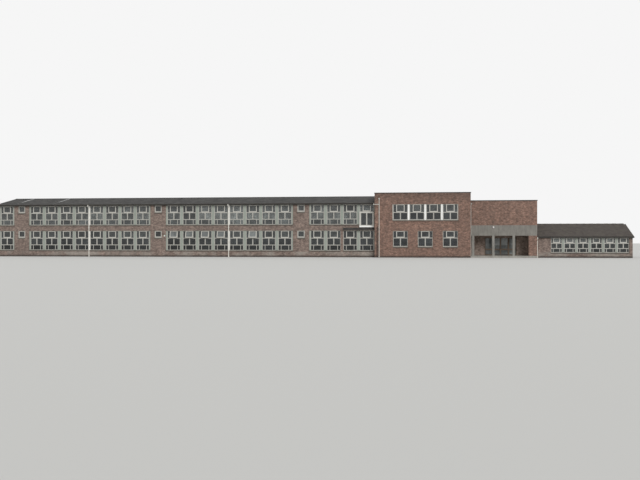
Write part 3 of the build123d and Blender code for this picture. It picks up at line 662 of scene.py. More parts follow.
def windowTemplate(kind, left, right, openVent=False, plainFrame=False):
    bm = bmesh.new()
    clearLeft, clearRight = joinery["frame"] - left, right - joinery["frame"]
    ventHalf = kind["ventilator"]
    mullionX = ventHalf - joinery["mullion"] / 2 + joinery["mullionOut"]
    levels = rowLevels(kind["rows"])
    for row, (top, bottom) in zip(kind["pattern"], levels):
        if row in ("ventilator", "lights"):
            for side in (-1, 1):
                addMullion(bm, side * mullionX, top, bottom)
        if row in ("ventilator", "single"):
            addVentilator(bm, ventHalf, top, bottom, joinery["openTilt"] if openVent else 0)
        if row == "casements":
            front = joinery["setback"] - casementSash["proud"]
            lap, meeting, frameLap = joinery["lap"], joinery["meeting"], joinery["frameLap"]
            for low, high in ((clearLeft - frameLap, -meeting), (meeting, clearRight + frameLap)):
                addSash(bm, low, high, bottom - lap, top + lap, front, casementSash)
    if plainFrame:
        # the rear's CAD frames have no transoms: one is fixed on each side of the glass
        near, half = joinery["setback"], joinery["glass"] / 2
        middle = near + joinery["depth"] / 2
        for (_, bottom), (top, _) in zip(levels, levels[1:]):
            addBlock(bm, (clearLeft, near, top), (clearRight, middle - half, bottom))
            addBlock(bm, (clearLeft, middle + half, top), (clearRight, 2 * middle - near, bottom))
    return bm


windowKinds = {
    "bay": {
        "rows": (0.46, 0.445, 0.322), "ventilator": 0.25,
        "pattern": ("ventilator", "casements", "lights"), "half": 0.428, "wideHalf": 0.4605,
    },
    "landingHead": {"rows": (0.46,), "ventilator": 0.25, "pattern": ("ventilator",), "half": 0.428},
    "pier": {"rows": (0.452,), "ventilator": 0.220, "pattern": ("single",), "half": 0.24},
    "strip": {
        "rows": (0.485, 0.472), "ventilator": 0.25, "pattern": ("ventilator", "casements"),
        "half": 0.443,
    },
    "low": {
        "rows": (0.42, 0.537), "ventilator": 0.25, "pattern": ("ventilator", "casements"),
        "half": 0.445,
    },
    "range": {
        "rows": (0.33, 0.325, 0.232), "ventilator": 0.2,
        "pattern": ("ventilator", "casements", "lights"), "half": 0.33,
    },
}
openVents = {(number, wing["heads"][0]) for number in (11, 12, 13, 14, 16)}
landingBay = (wing["landing"], wing["heads"][1])
pierBays = [(number, head) for head in wing["heads"] for number in wing["piers"]]


def onWall(spots, y, rear=False):
    # the places of windows on a long wall, from the middle and the head of each
    return [moveTo(x, y, head, pi if rear else 0) for x, head in spots]


def onWing(bays, rear=False):
    spots = [(bayX(number), head) for number, head in bays]
    return onWall(spots, wingRear if rear else wingFront, rear)


def baySides(number):
    # a bay beside a white panel is wider on that side
    kind = windowKinds["bay"]
    left = kind["wideHalf"] if number - 1 in wing["whiteJoints"] else kind["half"]
    right = kind["wideHalf"] if number in wing["whiteJoints"] else kind["half"]
    return left, right


def bayWindows(rear):
    # bays of one size and state share a template, which the rear turns round
    groups = {}
    for head in wing["heads"]:
        for number in bayNumbers:
            bay = (number, head)
            left, right = baySides(number)
            if rear:
                groups.setdefault((right, left, False), []).append(bay)
            elif bay != landingBay:
                groups.setdefault((left, right, bay in openVents), []).append(bay)
    shapes = []
    for (left, right, openVent), bays in groups.items():
        template = windowTemplate(windowKinds["bay"], left, right, openVent, plainFrame=rear)
        shapes.append(copyTo(template, onWing(bays, rear)))
    return shapes


def windowsAt(kindName, places, rear=False):
    kind = windowKinds[kindName]
    return copyTo(windowTemplate(kind, kind["half"], kind["half"], plainFrame=rear), places)


finishPiece(
    "wing_front_bars",
    bayWindows(rear=False)
    + [windowsAt("landingHead", onWing([landingBay])), windowsAt("pier", onWing(pierBays))],
    windowPaint, "painted_timber",
)
finishPiece(
    "wing_rear_bars", bayWindows(rear=True) + [windowsAt("pier", onWing(pierBays, rear=True))],
    windowPaint, "painted_timber",
)

stripMiddles = [
    stripStart + tower["window"] / 2 + number * stripPitch for number in range(tower["bays"])
]
stripMiddle = (stripMiddles[0] + stripMiddles[-1]) / 2
lowMiddles = [stripMiddle + step * tower["lowSpacing"] for step in (-1, 0, 1)]


towerSpots = {
    "strip": [(x, tower["stripHead"]) for x in stripMiddles],
    "low": [(x, tower["lowHead"]) for x in lowMiddles],
}
finishPiece(
    "tower_bars",
    [
        windowsAt(kindName, onWall(spots, y, rear), rear)
        for y, rear in ((towerLow.y, False), (towerRear, True))
        for kindName, spots in towerSpots.items()
    ],
    windowPaint, "painted_timber",
)

rangeMiddles = [
    rangeLow.x + (number + 1.5) * rangePart["pitch"] for number in range(rangePart["bays"])
]
rangeSpots = [(x, rangePart["head"]) for x in rangeMiddles]
finishPiece(
    "range_bars",
    [
        windowsAt("range", onWall(rangeSpots, y, rear), rear)
        for y, rear in ((rangeLow.y, False), (rangeRear, True))
    ],
    windowPaint, "painted_timber",
)

# The panes of the open ventilators
ventTop, ventBottom = rowLevels(windowKinds["bay"]["rows"])[0]
paneEdge = ventSash["stile"] - joinery["rebate"]
paneHalf = windowKinds["bay"]["ventilator"] - paneEdge
openPanes = bmesh.new()
addBlock(
    openPanes, (-paneHalf, joinery["glassBack"], ventBottom - ventTop + paneEdge),
    (paneHalf, joinery["glassBack"] + joinery["glass"], -paneEdge),
)
hinge = moveTo(0, joinery["setback"] - ventSash["proud"], ventTop)
tilt = Matrix.Rotation(-joinery["openTilt"], 4, "X")
bmesh.ops.transform(openPanes, matrix=hinge @ tilt, verts=openPanes.verts)
finishPiece(
    "open_ventilator_panes", [copyTo(openPanes, onWing(sorted(openVents)))],
    dustyGlass, "window_glass",
)
print("window bars and sashes")

# Boards on the panels between the windows, nailed up side by side
boards = {
    "width": 0.054, "gap": 0.003, "thickness": 0.008, "face": 0.03, "arris": 0.003,
    "bead": 0.014, "beadProud": 0.02,
}


def addBoards(bm, left, right, bottom, top):
    # upright boards on a panel's face, which is set back from the wall's
    count = max(1, round((right - left) / boards["width"]))
    width = (right - left) / count
    for number in range(count):
        start = left + number * width
        addBlock(
            bm, (start + boards["gap"] / 2, boards["face"] - boards["thickness"], bottom),
            (start + width - boards["gap"] / 2, boards["face"], top), boards["arris"],
        )


def addBeads(bm, middle, width, bottom, top):
    # a plain white panel with a bead down each side
    for side in (-1, 1):
        edge = middle + side * width / 2
        left, right = sorted((edge, edge - side * boards["bead"]))
        addBlock(
            bm, (left, boards["face"] - boards["beadProud"], bottom), (right, boards["face"], top),
            boards["arris"],
        )


def wingBoards(front):
    bm = bmesh.new()
    half = wing["panel"] / 2
    for head in wing["heads"]:
        bottom = head - wing["height"] + wing["sill"]
        for first, count in wing["bands"]:
            last = first + count - 1
            addBoards(bm, jointX(first - 1), jointX(first - 1) + half, bottom, head)
            addBoards(bm, jointX(last) - half, jointX(last), bottom, head)
            for joint in range(first, last):
                brickPost = front and joint == wing["brickJoint"] and head == wing["heads"][0]
                if joint not in wing["whiteJoints"] and not brickPost:
                    addBoards(bm, jointX(joint) - half, jointX(joint) + half, bottom, head)
    return bm


def whiteBeads():
    bm = bmesh.new()
    for head in wing["heads"]:
        for joint in wing["whiteJoints"]:
            addBeads(bm, jointX(joint), wing["whitePanel"], head - wing["height"], head)
    return bm


def rangeBoards():
    bm = bmesh.new()
    half = rangePart["panel"] / 2
    bottom = rangePart["head"] - rangePart["height"] + wing["sill"]
    for left in rangeMiddles[:-1]:
        middle = left + rangePart["pitch"] / 2
        addBoards(bm, middle - half, middle + half, bottom, rangePart["head"])
    return bm


def towerBeads():
    bm = bmesh.new()
    bottom = tower["stripSill"] + wing["sill"]
    for left, right in zip(stripMiddles, stripMiddles[1:]):
        addBeads(bm, (left + right) / 2, tower["panel"], bottom, tower["stripHead"])
    return bm


def toWall(bm, y, rear=False):
    # work that was drawn at y = 0, on a front wall or mirrored on a rear one
    place = Matrix.Translation((0, y, 0)) @ Matrix.Diagonal((1, -1 if rear else 1, 1, 1))
    bmesh.ops.transform(bm, matrix=place, verts=bm.verts)
    return bm


finishPiece(
    "panel_boards",
    [
        toWall(wingBoards(front=True), wingFront),
        toWall(wingBoards(front=False), wingRear, rear=True),
        toWall(rangeBoards(), rangeLow.y), toWall(rangeBoards(), rangeRear, rear=True),
    ],
    panelPaint, "painted_timber",
)
finishPiece(
    "white_beads",
    [
        toWall(whiteBeads(), wingFront), toWall(whiteBeads(), wingRear, rear=True),
        toWall(towerBeads(), towerLow.y), toWall(towerBeads(), towerRear, rear=True),
    ],
    whitePaint, "white_panel",
)
print("panel boards")

# Landing window: two sashes in the box, and a white board along its foot
landingLow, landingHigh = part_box("landing_window_box")
landing = {
    "side": 0.085, "foot": 0.107, "head": 0.065, "mullion": 0.03, "setback": 0.02,
    "nose": 0.012, "board": 0.097, "arris": 0.004,
}
landingSash = {"stile": 0.022, "foot": 0.01, "depth": 0.03, "arris": 0.003, "putty": 0.004}
landingBars = bmesh.new()
sashLeft, sashRight = landingLow.x + landing["side"], landingHigh.x - landing["side"]
sashBottom, sashTop = landingLow.z + landing["foot"], landingHigh.z - landing["head"]
sashWidth = (sashRight - sashLeft - landing["mullion"]) / 2
for left in (sashLeft, sashRight - sashWidth):
    addSash(
        landingBars, left, left + sashWidth, sashBottom, sashTop,
        landingLow.y + landing["setback"], landingSash,
    )
finishPiece("landing_sashes", [landingBars], landingPaint, "painted_timber")
sillBoard = bmesh.new()
addBlock(
    sillBoard, (landingLow.x, landingLow.y - landing["nose"], landingLow.z),
    (landingHigh.x, landingLow.y, landingLow.z + landing["board"]), landing["arris"],
)
finishPiece("landing_sill_board", [sillBoard], whitePaint, "white_panel")

# Felt over the hood, turned down in a drip along its front edge and up the wall behind. The dark
# felt and the hood's dark paint are partly painted shade for the shade line under the hood.
hoodLow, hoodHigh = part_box("window_hood")
hood = {"felt": 0.004, "drip": 0.02, "upstand": 0.048, "upstandDepth": 0.012, "arris": 0.003}
hoodFelt = bmesh.new()
feltTop = hoodHigh.z + hood["felt"]
addBlock(
    hoodFelt, (hoodLow.x, hoodHigh.y - hood["upstandDepth"], feltTop),
    (hoodHigh.x, hoodHigh.y, hoodHigh.z + hood["upstand"]), hood["arris"],
)
addBlock(hoodFelt, (hoodLow.x, hoodLow.y, hoodHigh.z), (hoodHigh.x, hoodHigh.y, feltTop))
addBlock(
    hoodFelt, (hoodLow.x, hoodLow.y - hood["felt"], hoodHigh.z - hood["drip"]),
    (hoodHigh.x, hoodLow.y, feltTop),
)
finishPiece("hood_felt", [hoodFelt], wingFelt, "roof_covering")
print("landing window and hood")


# Facing bricks, bedded on the outer faces in the bond that the brick material colours, and cut
# where an opening, another wall or a roof comes


def brickFace(axis, across, facing, span, openings=(), roof=None):
    # A wall's face runs along x or y and stands at a place across it, facing -1 or 1. Its span and
    # its openings are each a left, right, bottom and top.
    return {
        "axis": axis, "across": across, "facing": facing, "span": span,
        "openings": openings, "roof": roof,
    }


def remains(cell, openings):
    # the rectangles that the openings leave of one brick's face
    parts = [cell]
    for left, right, bottom, top in openings:
        rest = []
        for low, high, foot, head in parts:
            if left >= high or right <= low or bottom >= head or top <= foot:
                rest.append((low, high, foot, head))
                continue
            inLow, inHigh = max(low, left), min(high, right)
            rest += [(low, left, foot, head), (right, high, foot, head)]
            rest += [(inLow, inHigh, foot, bottom), (inLow, inHigh, top, head)]
        parts = [part for part in rest if part[0] < part[1] and part[2] < part[3]]
    least = brick["least"]
    return [part for part in parts if part[1] - part[0] > least and part[3] - part[2] > least]


def clearOfRoof(part, roof):
    # a gable's bricks stay under its roof, and a wall that stands over a roof starts above it
    low, high, foot, head = part
    gaps = abs(low - roof["middle"]), abs(high - roof["middle"])
    if roof["over"]:
        return head < roof["ridge"] - max(gaps) * tan(roof["pitch"])
    return foot > roof["ridge"] - min(gaps) * tan(roof["pitch"])


def wholeBricks(face):
    # where the face has bricks of the bond, those at its edges cut to it
    length, course, half = brick["length"], brick["course"], brick["joint"] / 2
    left, right, bottom, top = face["span"]
    for row in range(int(bottom / course), int(top / course) + 1):
        foot, head = max(bottom, row * course + half), min(top, (row + 1) * course - half)
        start = -face["across"] if row % 2 else -face["across"] - length / 2
        for number in range(int((left - start) // length), int((right - start) // length) + 1):
            near = start + number * length
            yield max(left, near + half), min(right, near + length - half), foot, head


def layBricks(faces):
    # every brick is a face inset and pulled out of the wall, with a plain back inside it
    bm = bmesh.new()
    for face in faces:
        alongX, roof = face["axis"] == "x", face["roof"]
        bed = face["across"] - face["facing"] * brick["bed"]
        for cell in wholeBricks(face):
            for part in remains(cell, face["openings"]):
                if roof and not clearOfRoof(part, roof):
                    continue
                low, high, foot, head = part
                corners = [(low, foot), (high, foot), (high, head), (low, head)]
                if alongX == (face["facing"] > 0):
                    corners.reverse()
                places = [(along, bed, z) if alongX else (bed, along, z) for along, z in corners]
                bm.faces.new([bm.verts.new(place) for place in places])
    fronts = bm.faces[:]
    bm.normal_update()
    copied = bmesh.ops.duplicate(bm, geom=bm.verts[:] + bm.edges[:] + fronts)["geom"]
    backs = [item for item in copied if isinstance(item, bmesh.types.BMFace)]
    bmesh.ops.reverse_faces(bm, faces=backs)
    bmesh.ops.inset_individual(
        bm, faces=fronts, thickness=brick["arris"], depth=brick["bed"] + brick["proud"],
        use_even_offset=True,
    )
    bmesh.ops.remove_doubles(bm, verts=bm.verts, dist=0.00001)
    return bm


def wingOpenings(front):
    spans = []
    pierHalf = windowKinds["pier"]["half"]
    for head in wing["heads"]:
        for first, count in wing["bands"]:
            left, right = jointX(first - 1), jointX(first + count - 1)
            spans.append((left, right, head - wing["height"], head))
        for number in wing["piers"]:
            x = bayX(number)
            spans.append((x - pierHalf, x + pierHalf, head - 2 * pierHalf, head))
    if front:
        # one joint of the lower storey is a brick post
        post, half = jointX(wing["brickJoint"]), wing["panel"] / 2
        cut = next(span for span in spans if span[0] < post < span[1])
        spans.remove(cut)
        spans += [(cut[0], post - half, *cut[2:]), (post + half, cut[1], *cut[2:])]
        spans.append((landingLow.x, landingHigh.x, landingLow.z, landingHigh.z))
        spans.append((hoodLow.x, hoodHigh.x, hoodLow.z, hoodHigh.z + hood["upstand"]))
    return spans


towerOpenings = [(
    stripStart - tower["border"], stripMiddles[-1] + tower["window"] / 2 + tower["border"],
    tower["stripSill"], tower["stripHead"],
)]
lowHalf, lowHead = windowKinds["low"]["half"], tower["lowHead"]
for x in lowMiddles:
    towerOpenings.append((x - lowHalf, x + lowHalf, lowHead - tower["height"], lowHead))
rangeHalf = windowKinds["range"]["half"]
rangeOpenings = [(
    rangeMiddles[0] - rangeHalf, rangeMiddles[-1] + rangeHalf,
    rangePart["head"] - rangePart["height"], rangePart["head"],
)]

wingTop = wing["heads"][1]
wingPeak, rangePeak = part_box("wing_end_wall")[1].z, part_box("range_end_wall")[1].z
rangeRoofLow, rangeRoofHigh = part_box("range_roof")
wingMiddle, rangeMiddle = (wingFront + wingRear) / 2, (rangeLow.y + rangeRear) / 2
wingGable = {"middle": wingMiddle, "ridge": wingPeak, "pitch": felt["pitch"], "over": True}
rangeGable = {"middle": rangeMiddle, "ridge": rangePeak, "pitch": tiles["pitch"], "over": True}
rangeRoof = {
    "middle": rangeMiddle, "ridge": rangeRoofHigh.z, "pitch": tiles["pitch"], "over": False,
}
plateEnds = [
    (wingFront, wingFront + wallThickness, wingTop, wingPeak),
    (wingRear - wallThickness, wingRear, wingTop, wingPeak),
]
copingThickness = 0.04
wingSpan = (wingLow.x, towerLow.x, 0, wingTop)
towerSpan = (towerLow.x, towerHigh.x, 0, towerHigh.z)
linkEnd = (linkLow.y, linkRear, 0, linkHigh.z + copingThickness)
rangeSpan = (rangeLow.x, rangeHigh.x, 0, rangeHigh.z)
pierLow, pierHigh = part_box("porch_pier")
backLow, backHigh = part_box("porch_back_wall")
screenLow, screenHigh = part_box("entrance_screen")
porchDoors = (screenLow.x, screenHigh.x, screenLow.z, screenHigh.z)
brickWalls = {
    "wing_front_bricks": (wingBrick, "wing_brick", [
        brickFace("x", wingFront, -1, wingSpan, wingOpenings(front=True)),
    ]),
    "wing_rear_bricks": (wingBrick, "wing_brick", [
        brickFace("x", wingRear, 1, wingSpan, wingOpenings(front=False)),
    ]),
    "wing_end_bricks": (wingBrick, "wing_brick", [
        brickFace("y", wingLow.x, -1, (wingFront, wingRear, 0, wingPeak), plateEnds, wingGable),
    ]),
    "tower_bricks": (towerBrick, "tower_brick", [
        brickFace("x", towerLow.y, -1, towerSpan, towerOpenings),
        brickFace("x", towerRear, 1, towerSpan, towerOpenings),
        brickFace("y", towerLow.x, -1, (towerLow.y, wingFront, 0, towerHigh.z)),
        brickFace("y", towerHigh.x, 1, (towerLow.y, towerRear, 0, towerHigh.z), [linkEnd]),
    ]),
    "link_bricks": (towerBrick, "tower_brick", [
        brickFace("x", linkLow.y, -1, (linkLow.x, linkHigh.x, linkLow.z, linkHigh.z)),
        brickFace("x", linkRear, 1, (linkLow.x, linkHigh.x, 0, linkHigh.z)),
        brickFace(
            "y", linkHigh.x, 1, (rangeLow.y, linkRear, rangeHigh.z, linkHigh.z), roof=rangeRoof
        ),
        brickFace("y", linkHigh.x, 1, (linkLow.y, rangeLow.y, linkLow.z, linkHigh.z)),
        brickFace("y", linkHigh.x, 1, (linkLow.y, rangeLow.y, pierLow.z, pierHigh.z)),
        brickFace("x", pierLow.y, -1, (pierLow.x, pierHigh.x, pierLow.z, pierHigh.z)),
        brickFace("y", pierLow.x, -1, (pierLow.y, pierHigh.y, pierLow.z, pierHigh.z)),
    ]),
    "porch_bricks": (porchLitBrick, "tower_brick", [
        brickFace("x", backLow.y, -1, (backLow.x, backHigh.x, backLow.z, backHigh.z), [porchDoors]),
    ]),
    "range_bricks": (wingBrick, "wing_brick", [
        brickFace("x", rangeLow.y, -1, rangeSpan, rangeOpenings),
        brickFace("x", rangeRear, 1, rangeSpan, rangeOpenings),
        brickFace("y", rangeHigh.x, 1, (rangeLow.y, rangeRear, 0, rangePeak), roof=rangeGable),
    ]),
}
for name, (material, slot, faces) in brickWalls.items():
    finishPiece(name, [layBricks(faces)], material, slot)
print("facing bricks")


# Pitched roofs. A slope's own x runs along the eaves, its y up the slope and its z out of it.
def slopesOf(low, high, pitch):
    ridge = (low.y + high.y) / 2
    eavesTop = high.z - (ridge - low.y) * tan(pitch)
    length = (ridge - low.y) / cos(pitch)
    front = Matrix.Translation((0, low.y, eavesTop)) @ Matrix.Rotation(pitch, 4, "X")
    rear = Matrix.Translation((low.x + high.x, high.y, eavesTop)) @ Matrix.Rotation(pi, 4, "Z")
    return (front, rear @ Matrix.Rotation(pitch, 4, "X")), length


wingRoofLow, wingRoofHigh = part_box("wing_roof")
wingSlopes, wingSlopeLength = slopesOf(wingRoofLow, wingRoofHigh, felt["pitch"])
lapStrip = bmesh.new()
addBlock(
    lapStrip, (-felt["lap"] / 2, 0, 0),
    (felt["lap"] / 2, wingSlopeLength - felt["ridge"], felt["lapHeight"]),
)
lapCount = int((wingRoofHigh.x - wingRoofLow.x) / felt["strip"])
lapPlaces = [
    slope @ Matrix.Translation((wingRoofLow.x + (number + 0.5) * felt["strip"], 0, 0))
    for slope in wingSlopes for number in range(lapCount)
]
finishPiece("felt_laps", [copyTo(lapStrip, lapPlaces)], wingFelt, "roof_covering")


def tileShape():
    bm = bmesh.new()
    steps = 4 * tiles["waves"]
    bmesh.ops.create_grid(bm, x_segments=steps, y_segments=1, size=0.5)
    for vert in bm.verts:
        across = vert.co.x
        vert.co.x = across * tiles["cover"]
        vert.co.y = (vert.co.y + 0.5) * tiles["length"]
        vert.co.z = tiles["roll"] * cos(2 * pi * tiles["waves"] * across) + tiles["roll"]
    pullOut(bm, bm.faces[:], (0, 0, tiles["thickness"]))
    lift = tiles["thickness"] / tiles["gauge"]
    bmesh.ops.rotate(bm, cent=(0, 0, 0), matrix=Matrix.Rotation(-lift, 3, "X"), verts=bm.verts)
    bmesh.ops.translate(bm, vec=(0, 0, tiles["thickness"] + tiles["clear"]), verts=bm.verts)
    return bm


# Tiles on the range, in courses that lap from the eaves up, and half-round tiles on its ridge
rangeSlopes, rangeSlopeLength = slopesOf(rangeRoofLow, rangeRoofHigh, tiles["pitch"])
courses = int(rangeSlopeLength / tiles["gauge"])
perCourse = int((rangeRoofHigh.x - rangeRoofLow.x) / tiles["cover"])
side = (rangeRoofHigh.x - rangeRoofLow.x - perCourse * tiles["cover"]) / 2
tilePlaces = [
    slope @ Matrix.Translation(
        (rangeRoofLow.x + side + (column + 0.5) * tiles["cover"], course * tiles["gauge"], 0)
    )
    for slope in rangeSlopes for course in range(courses) for column in range(perCourse)
]
ridgeTile = {"radius": 0.062, "thickness": 0.009, "length": 0.225, "sink": 0.012, "socket": 0.004}
ridgeRow = bmesh.new()
ridgeY = (rangeRoofLow.y + rangeRoofHigh.y) / 2
ridgeCount = int((rangeRoofHigh.x - rangeRoofLow.x) / ridgeTile["length"])
for number in range(ridgeCount):
    place = Matrix.Translation(
        (rangeRoofLow.x + number * ridgeTile["length"], ridgeY, rangeRoofHigh.z - ridgeTile["sink"])
    )
    radius = ridgeTile["radius"] + ridgeTile["socket"] * (number % 2)
    addHalfRing(ridgeRow, place, radius, ridgeTile["thickness"], ridgeTile["length"], pi)
finishPiece(
    "range_tiles", [copyTo(tileShape(), tilePlaces), ridgeRow], tileConcrete, "roof_covering"
)

# Barge boards under the open verges
barge = {"thickness": 0.018, "below": 0.045, "wingRoof": 0.07, "rangeRoof": 0.06}
bargeBoards = bmesh.new()
for slopes, length, depth, low, high, verge in (
    (wingSlopes, wingSlopeLength, barge["wingRoof"], wingRoofLow, wingRoofHigh, wingRoofLow.x),
    (
        rangeSlopes, rangeSlopeLength, barge["rangeRoof"], rangeRoofLow, rangeRoofHigh,
        rangeRoofHigh.x - barge["thickness"],
    ),
):
    # the rear slope is turned round, so its verge is at the other end of it
    for slope, x in zip(slopes, (verge, low.x + high.x - verge - barge["thickness"])):
        known = set(bargeBoards.verts)
        addBlock(
            bargeBoards, (x, 0, -depth - barge["below"]), (x + barge["thickness"], length, -depth)
        )
        moveNew(bargeBoards, known, slope)
finishPiece("barge_boards", [bargeBoards], darkPaint, "dark_timber")
print("roofs")

# Flat roofs: felt turned up the parapets under lead flashings, and laps across the decks
flat = {
    "upstand": 0.075, "thickness": 0.012, "lead": 0.03, "leadLap": 0.012, "leadThickness": 0.003,
    "strip": 0.5, "towerDeck": 3.7, "linkDeck": 3.275,
}


def addKerb(bm, well, reach, bottom, top):
    # a turn-up along the four sides of a flat roof
    left, right, front, rear = well
    addBlock(bm, (left, front, bottom), (left + reach, rear, top))
    addBlock(bm, (right - reach, front, bottom), (right, rear, top))
    addBlock(bm, (left + reach, front, bottom), (right - reach, front + reach, top))
    addBlock(bm, (left + reach, rear - reach, bottom), (right - reach, rear, top))


upstands, flashings = bmesh.new(), bmesh.new()
for left, low, high, outerRear, deck in (
    (towerLow.x + wallThickness, towerLow, towerHigh, towerRear, flat["towerDeck"]),
    (linkLow.x, linkLow, linkHigh, linkRear, flat["linkDeck"]),
):
    right, front = high.x - wallThickness, low.y + wallThickness
    rear = outerRear - wallThickness
    well = (left, right, front, rear)
    feltHead = deck + flat["upstand"]
    leadReach = flat["thickness"] + flat["leadThickness"]
    addKerb(upstands, well, flat["thickness"], deck, feltHead)
    addKerb(flashings, well, leadReach, feltHead - flat["leadLap"], feltHead + flat["lead"])
    for number in range(1, int((right - left) / flat["strip"])):
        x = left + number * flat["strip"]
        addBlock(
            upstands, (x, front + flat["thickness"], deck),
            (x + felt["lap"], rear - flat["thickness"], deck + felt["lapHeight"]),
        )
finishPiece("deck_upstands", [upstands], deckFelt, "roof_covering")
finishPiece("parapet_flashings", [flashings], leadSheet, "lead")
print("flat roofs")

# Gutters: brackets screwed to the eaves boards, unions between the lengths, and stop ends
gutters = {
    "radius": 0.034, "thickness": 0.004, "bracket": 0.018, "spacing": 0.508, "union": 0.035,
    "unionEvery": 4, "proud": 0.0045, "stopHole": 0.001, "boardOut": 0.0153, "below": 0.01,
}
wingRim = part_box("rain_gutters")[1].z
rangeEaves = rangeRoofHigh.z - (ridgeY - rangeRoofLow.y) * tan(tiles["pitch"])
eavesOut = gutters["boardOut"] + gutters["radius"]
wingGutters = {"front": wingRoofLow.y - eavesOut, "rear": wingRoofHigh.y + eavesOut, "rim": wingRim}
rangeGutters = {
    "front": rangeRoofLow.y - eavesOut, "rear": rangeRoofHigh.y + eavesOut,
    "rim": rangeEaves - gutters["below"],
}
gutterFittings = bmesh.new()
for left, right, runs in (
    (wingRoofLow.x, wingRoofHigh.x, wingGutters), (rangeRoofLow.x, rangeRoofHigh.x, rangeGutters),
):
    for y, toWall in ((runs["front"], 1), (runs["rear"], -1)):
        bracketY, outer = y + toWall * gutters["proud"], gutters["radius"] + gutters["proud"]
        for number in range(int((right - left) / gutters["spacing"])):
            isUnion = number % gutters["unionEvery"] == gutters["unionEvery"] / 2
            width = gutters["union"] if isUnion else gutters["bracket"]
            x = left + (number + 0.5) * gutters["spacing"]
            place = Matrix.Translation((x, bracketY, runs["rim"]))
            addHalfRing(gutterFittings, place, outer, gutters["thickness"], width, -pi)
        for end in (left, right - gutters["thickness"]):
            place = Matrix.Translation((end, y, runs["rim"]))
            plate = gutters["radius"] - gutters["stopHole"]
            addHalfRing(gutterFittings, place, gutters["radius"], plate, gutters["thickness"], -pi)
finishPiece("gutter_fittings", [gutterFittings], gutterIron, "cast_iron")

# Pipes: socket collars with ears on the wall, round bends over the mitres, and small heads. The
# tops are those of each pipe's last length.
pipes = {
    "off": 0.0223, "collar": 0.0265, "collarHeight": 0.045, "length": 0.9, "first": 0.02,
    "sides": 14, "ear": 0.046, "earDepth": 0.012, "earFoot": 0.01, "earHead": 0.035,
    "earArris": 0.003, "bend": 0.0252, "neckFall": 0.13, "socket": 0.02, "upperSocket": 0.05,
    "lowerSocket": 0.07, "wingNeck": 3.2018, "rangeNeck": 1.1361, "inset": 0.275,
    "branchInset": 0.062, "branchDrop": 0.08, "branchBend": 0.031, "branchSocket": 0.03,
}
pipeTops = {"wing": 2.9, "tower": 3.4, "link": 3.1, "range": 0.95, "waste": 1.7}
pipeFittings = bmesh.new()


def addUpright(bm, x, y, bottom, top, radius=pipes["collar"]):
    addRod(bm, (x, y, bottom), (x, y, top), radius, pipes["sides"])


def addCollars(bm, x, wallY, top, toward=-1, radius=pipes["collar"]):
    # one at the foot, and one at the top of each length
    y = wallY + toward * pipes["off"]
    near, far = sorted((wallY, wallY + toward * pipes["earDepth"]))
    for number in range(int(top / pipes["length"]) + 1):
        level = pipes["first"] + number * pipes["length"]
        addUpright(bm, x, y, level, level + pipes["collarHeight"], radius)
        addBlock(
            bm, (x - pipes["ear"], near, level + pipes["earFoot"]),
            (x + pipes["ear"], far, level + pipes["earHead"]), pipes["earArris"],
        )


def addNeckBends(bm, x, gutterY, wallY, neck, toward=-1):
    # the swan neck's two bends, with a socket over the upper one and one under the lower one
    y, foot = wallY + toward * pipes["off"], neck - pipes["neckFall"]
    addBall(bm, (x, gutterY, neck), pipes["bend"])
    addBall(bm, (x, y, foot), pipes["bend"])
    addUpright(bm, x, gutterY, neck + pipes["socket"], neck + pipes["upperSocket"])
    addUpright(bm, x, y, foot - pipes["lowerSocket"], foot - pipes["socket"])


for joint in wing["whiteJoints"]:
    x = jointX(joint)
    for wallY, gutterY, toward in (
        (wingFront, wingGutters["front"], -1), (wingRear, wingGutters["rear"], 1),
    ):
        addCollars(pipeFittings, x, wallY, pipeTops["wing"], toward)
        addNeckBends(pipeFittings, x, gutterY, wallY, pipes["wingNeck"], toward)
towerPipeX, towerPipeY = towerLow.x + pipes["inset"], towerLow.y - pipes["off"]
slimCollar = pipes["off"]
addCollars(pipeFittings, towerPipeX, towerLow.y, pipeTops["tower"], radius=slimCollar)
branchX, branchY = towerLow.x - pipes["branchInset"], wingGutters["front"]
branchZ = wingRim - gutters["radius"] - pipes["branchDrop"]
addBall(pipeFittings, (branchX, branchY, branchZ), pipes["branchBend"])
socketFoot = branchZ + pipes["branchSocket"]
addUpright(pipeFittings, branchX, branchY, socketFoot, socketFoot + pipes["branchSocket"])
linkPipeX, rangePipeX = linkLow.x + pipes["off"], rangeLow.x + pipes["off"]
addCollars(pipeFittings, linkPipeX, linkLow.y, pipeTops["link"])
addCollars(pipeFittings, rangePipeX, rangeLow.y, pipeTops["range"])
addNeckBends(pipeFittings, rangePipeX, rangeGutters["front"], rangeLow.y, pipes["rangeNeck"])

heads = {
    "width": 0.1, "height": 0.09, "spout": 0.05, "rim": 0.004, "rimHeight": 0.012, "arris": 0.002,
    "towerTop": 3.6, "towerDepth": 0.0445, "linkTop": 3.27, "linkDepth": 0.085, "linkIn": 0.03,
}
for x, wallY, top, depth in (
    (towerPipeX, towerLow.y, heads["towerTop"], heads["towerDepth"]),
    (linkPipeX + heads["linkIn"], linkLow.y, heads["linkTop"], heads["linkDepth"]),
):
    # a box whose foot narrows to the spout, with a rim round its top
    known = set(pipeFittings.verts)
    left, right, foot = x - heads["width"] / 2, x + heads["width"] / 2, top - heads["height"]
    addBlock(pipeFittings, (left, wallY - depth, foot), (right, wallY, top))
    fresh = [vert for vert in pipeFittings.verts if vert not in known]
    bmesh.ops.scale(
        pipeFittings, vec=(heads["spout"] / heads["width"], 1, 1),
        space=Matrix.Translation((-x, 0, 0)),
        verts=[vert for vert in fresh if vert.co.z < (foot + top) / 2],
    )
    addBlock(
        pipeFittings, (left - heads["rim"], wallY - depth, top - heads["rimHeight"]),
        (right + heads["rim"], wallY, top), heads["arris"],
    )
finishPiece("pipe_fittings", [pipeFittings], pipeIron, "pale_iron", smooth=True)
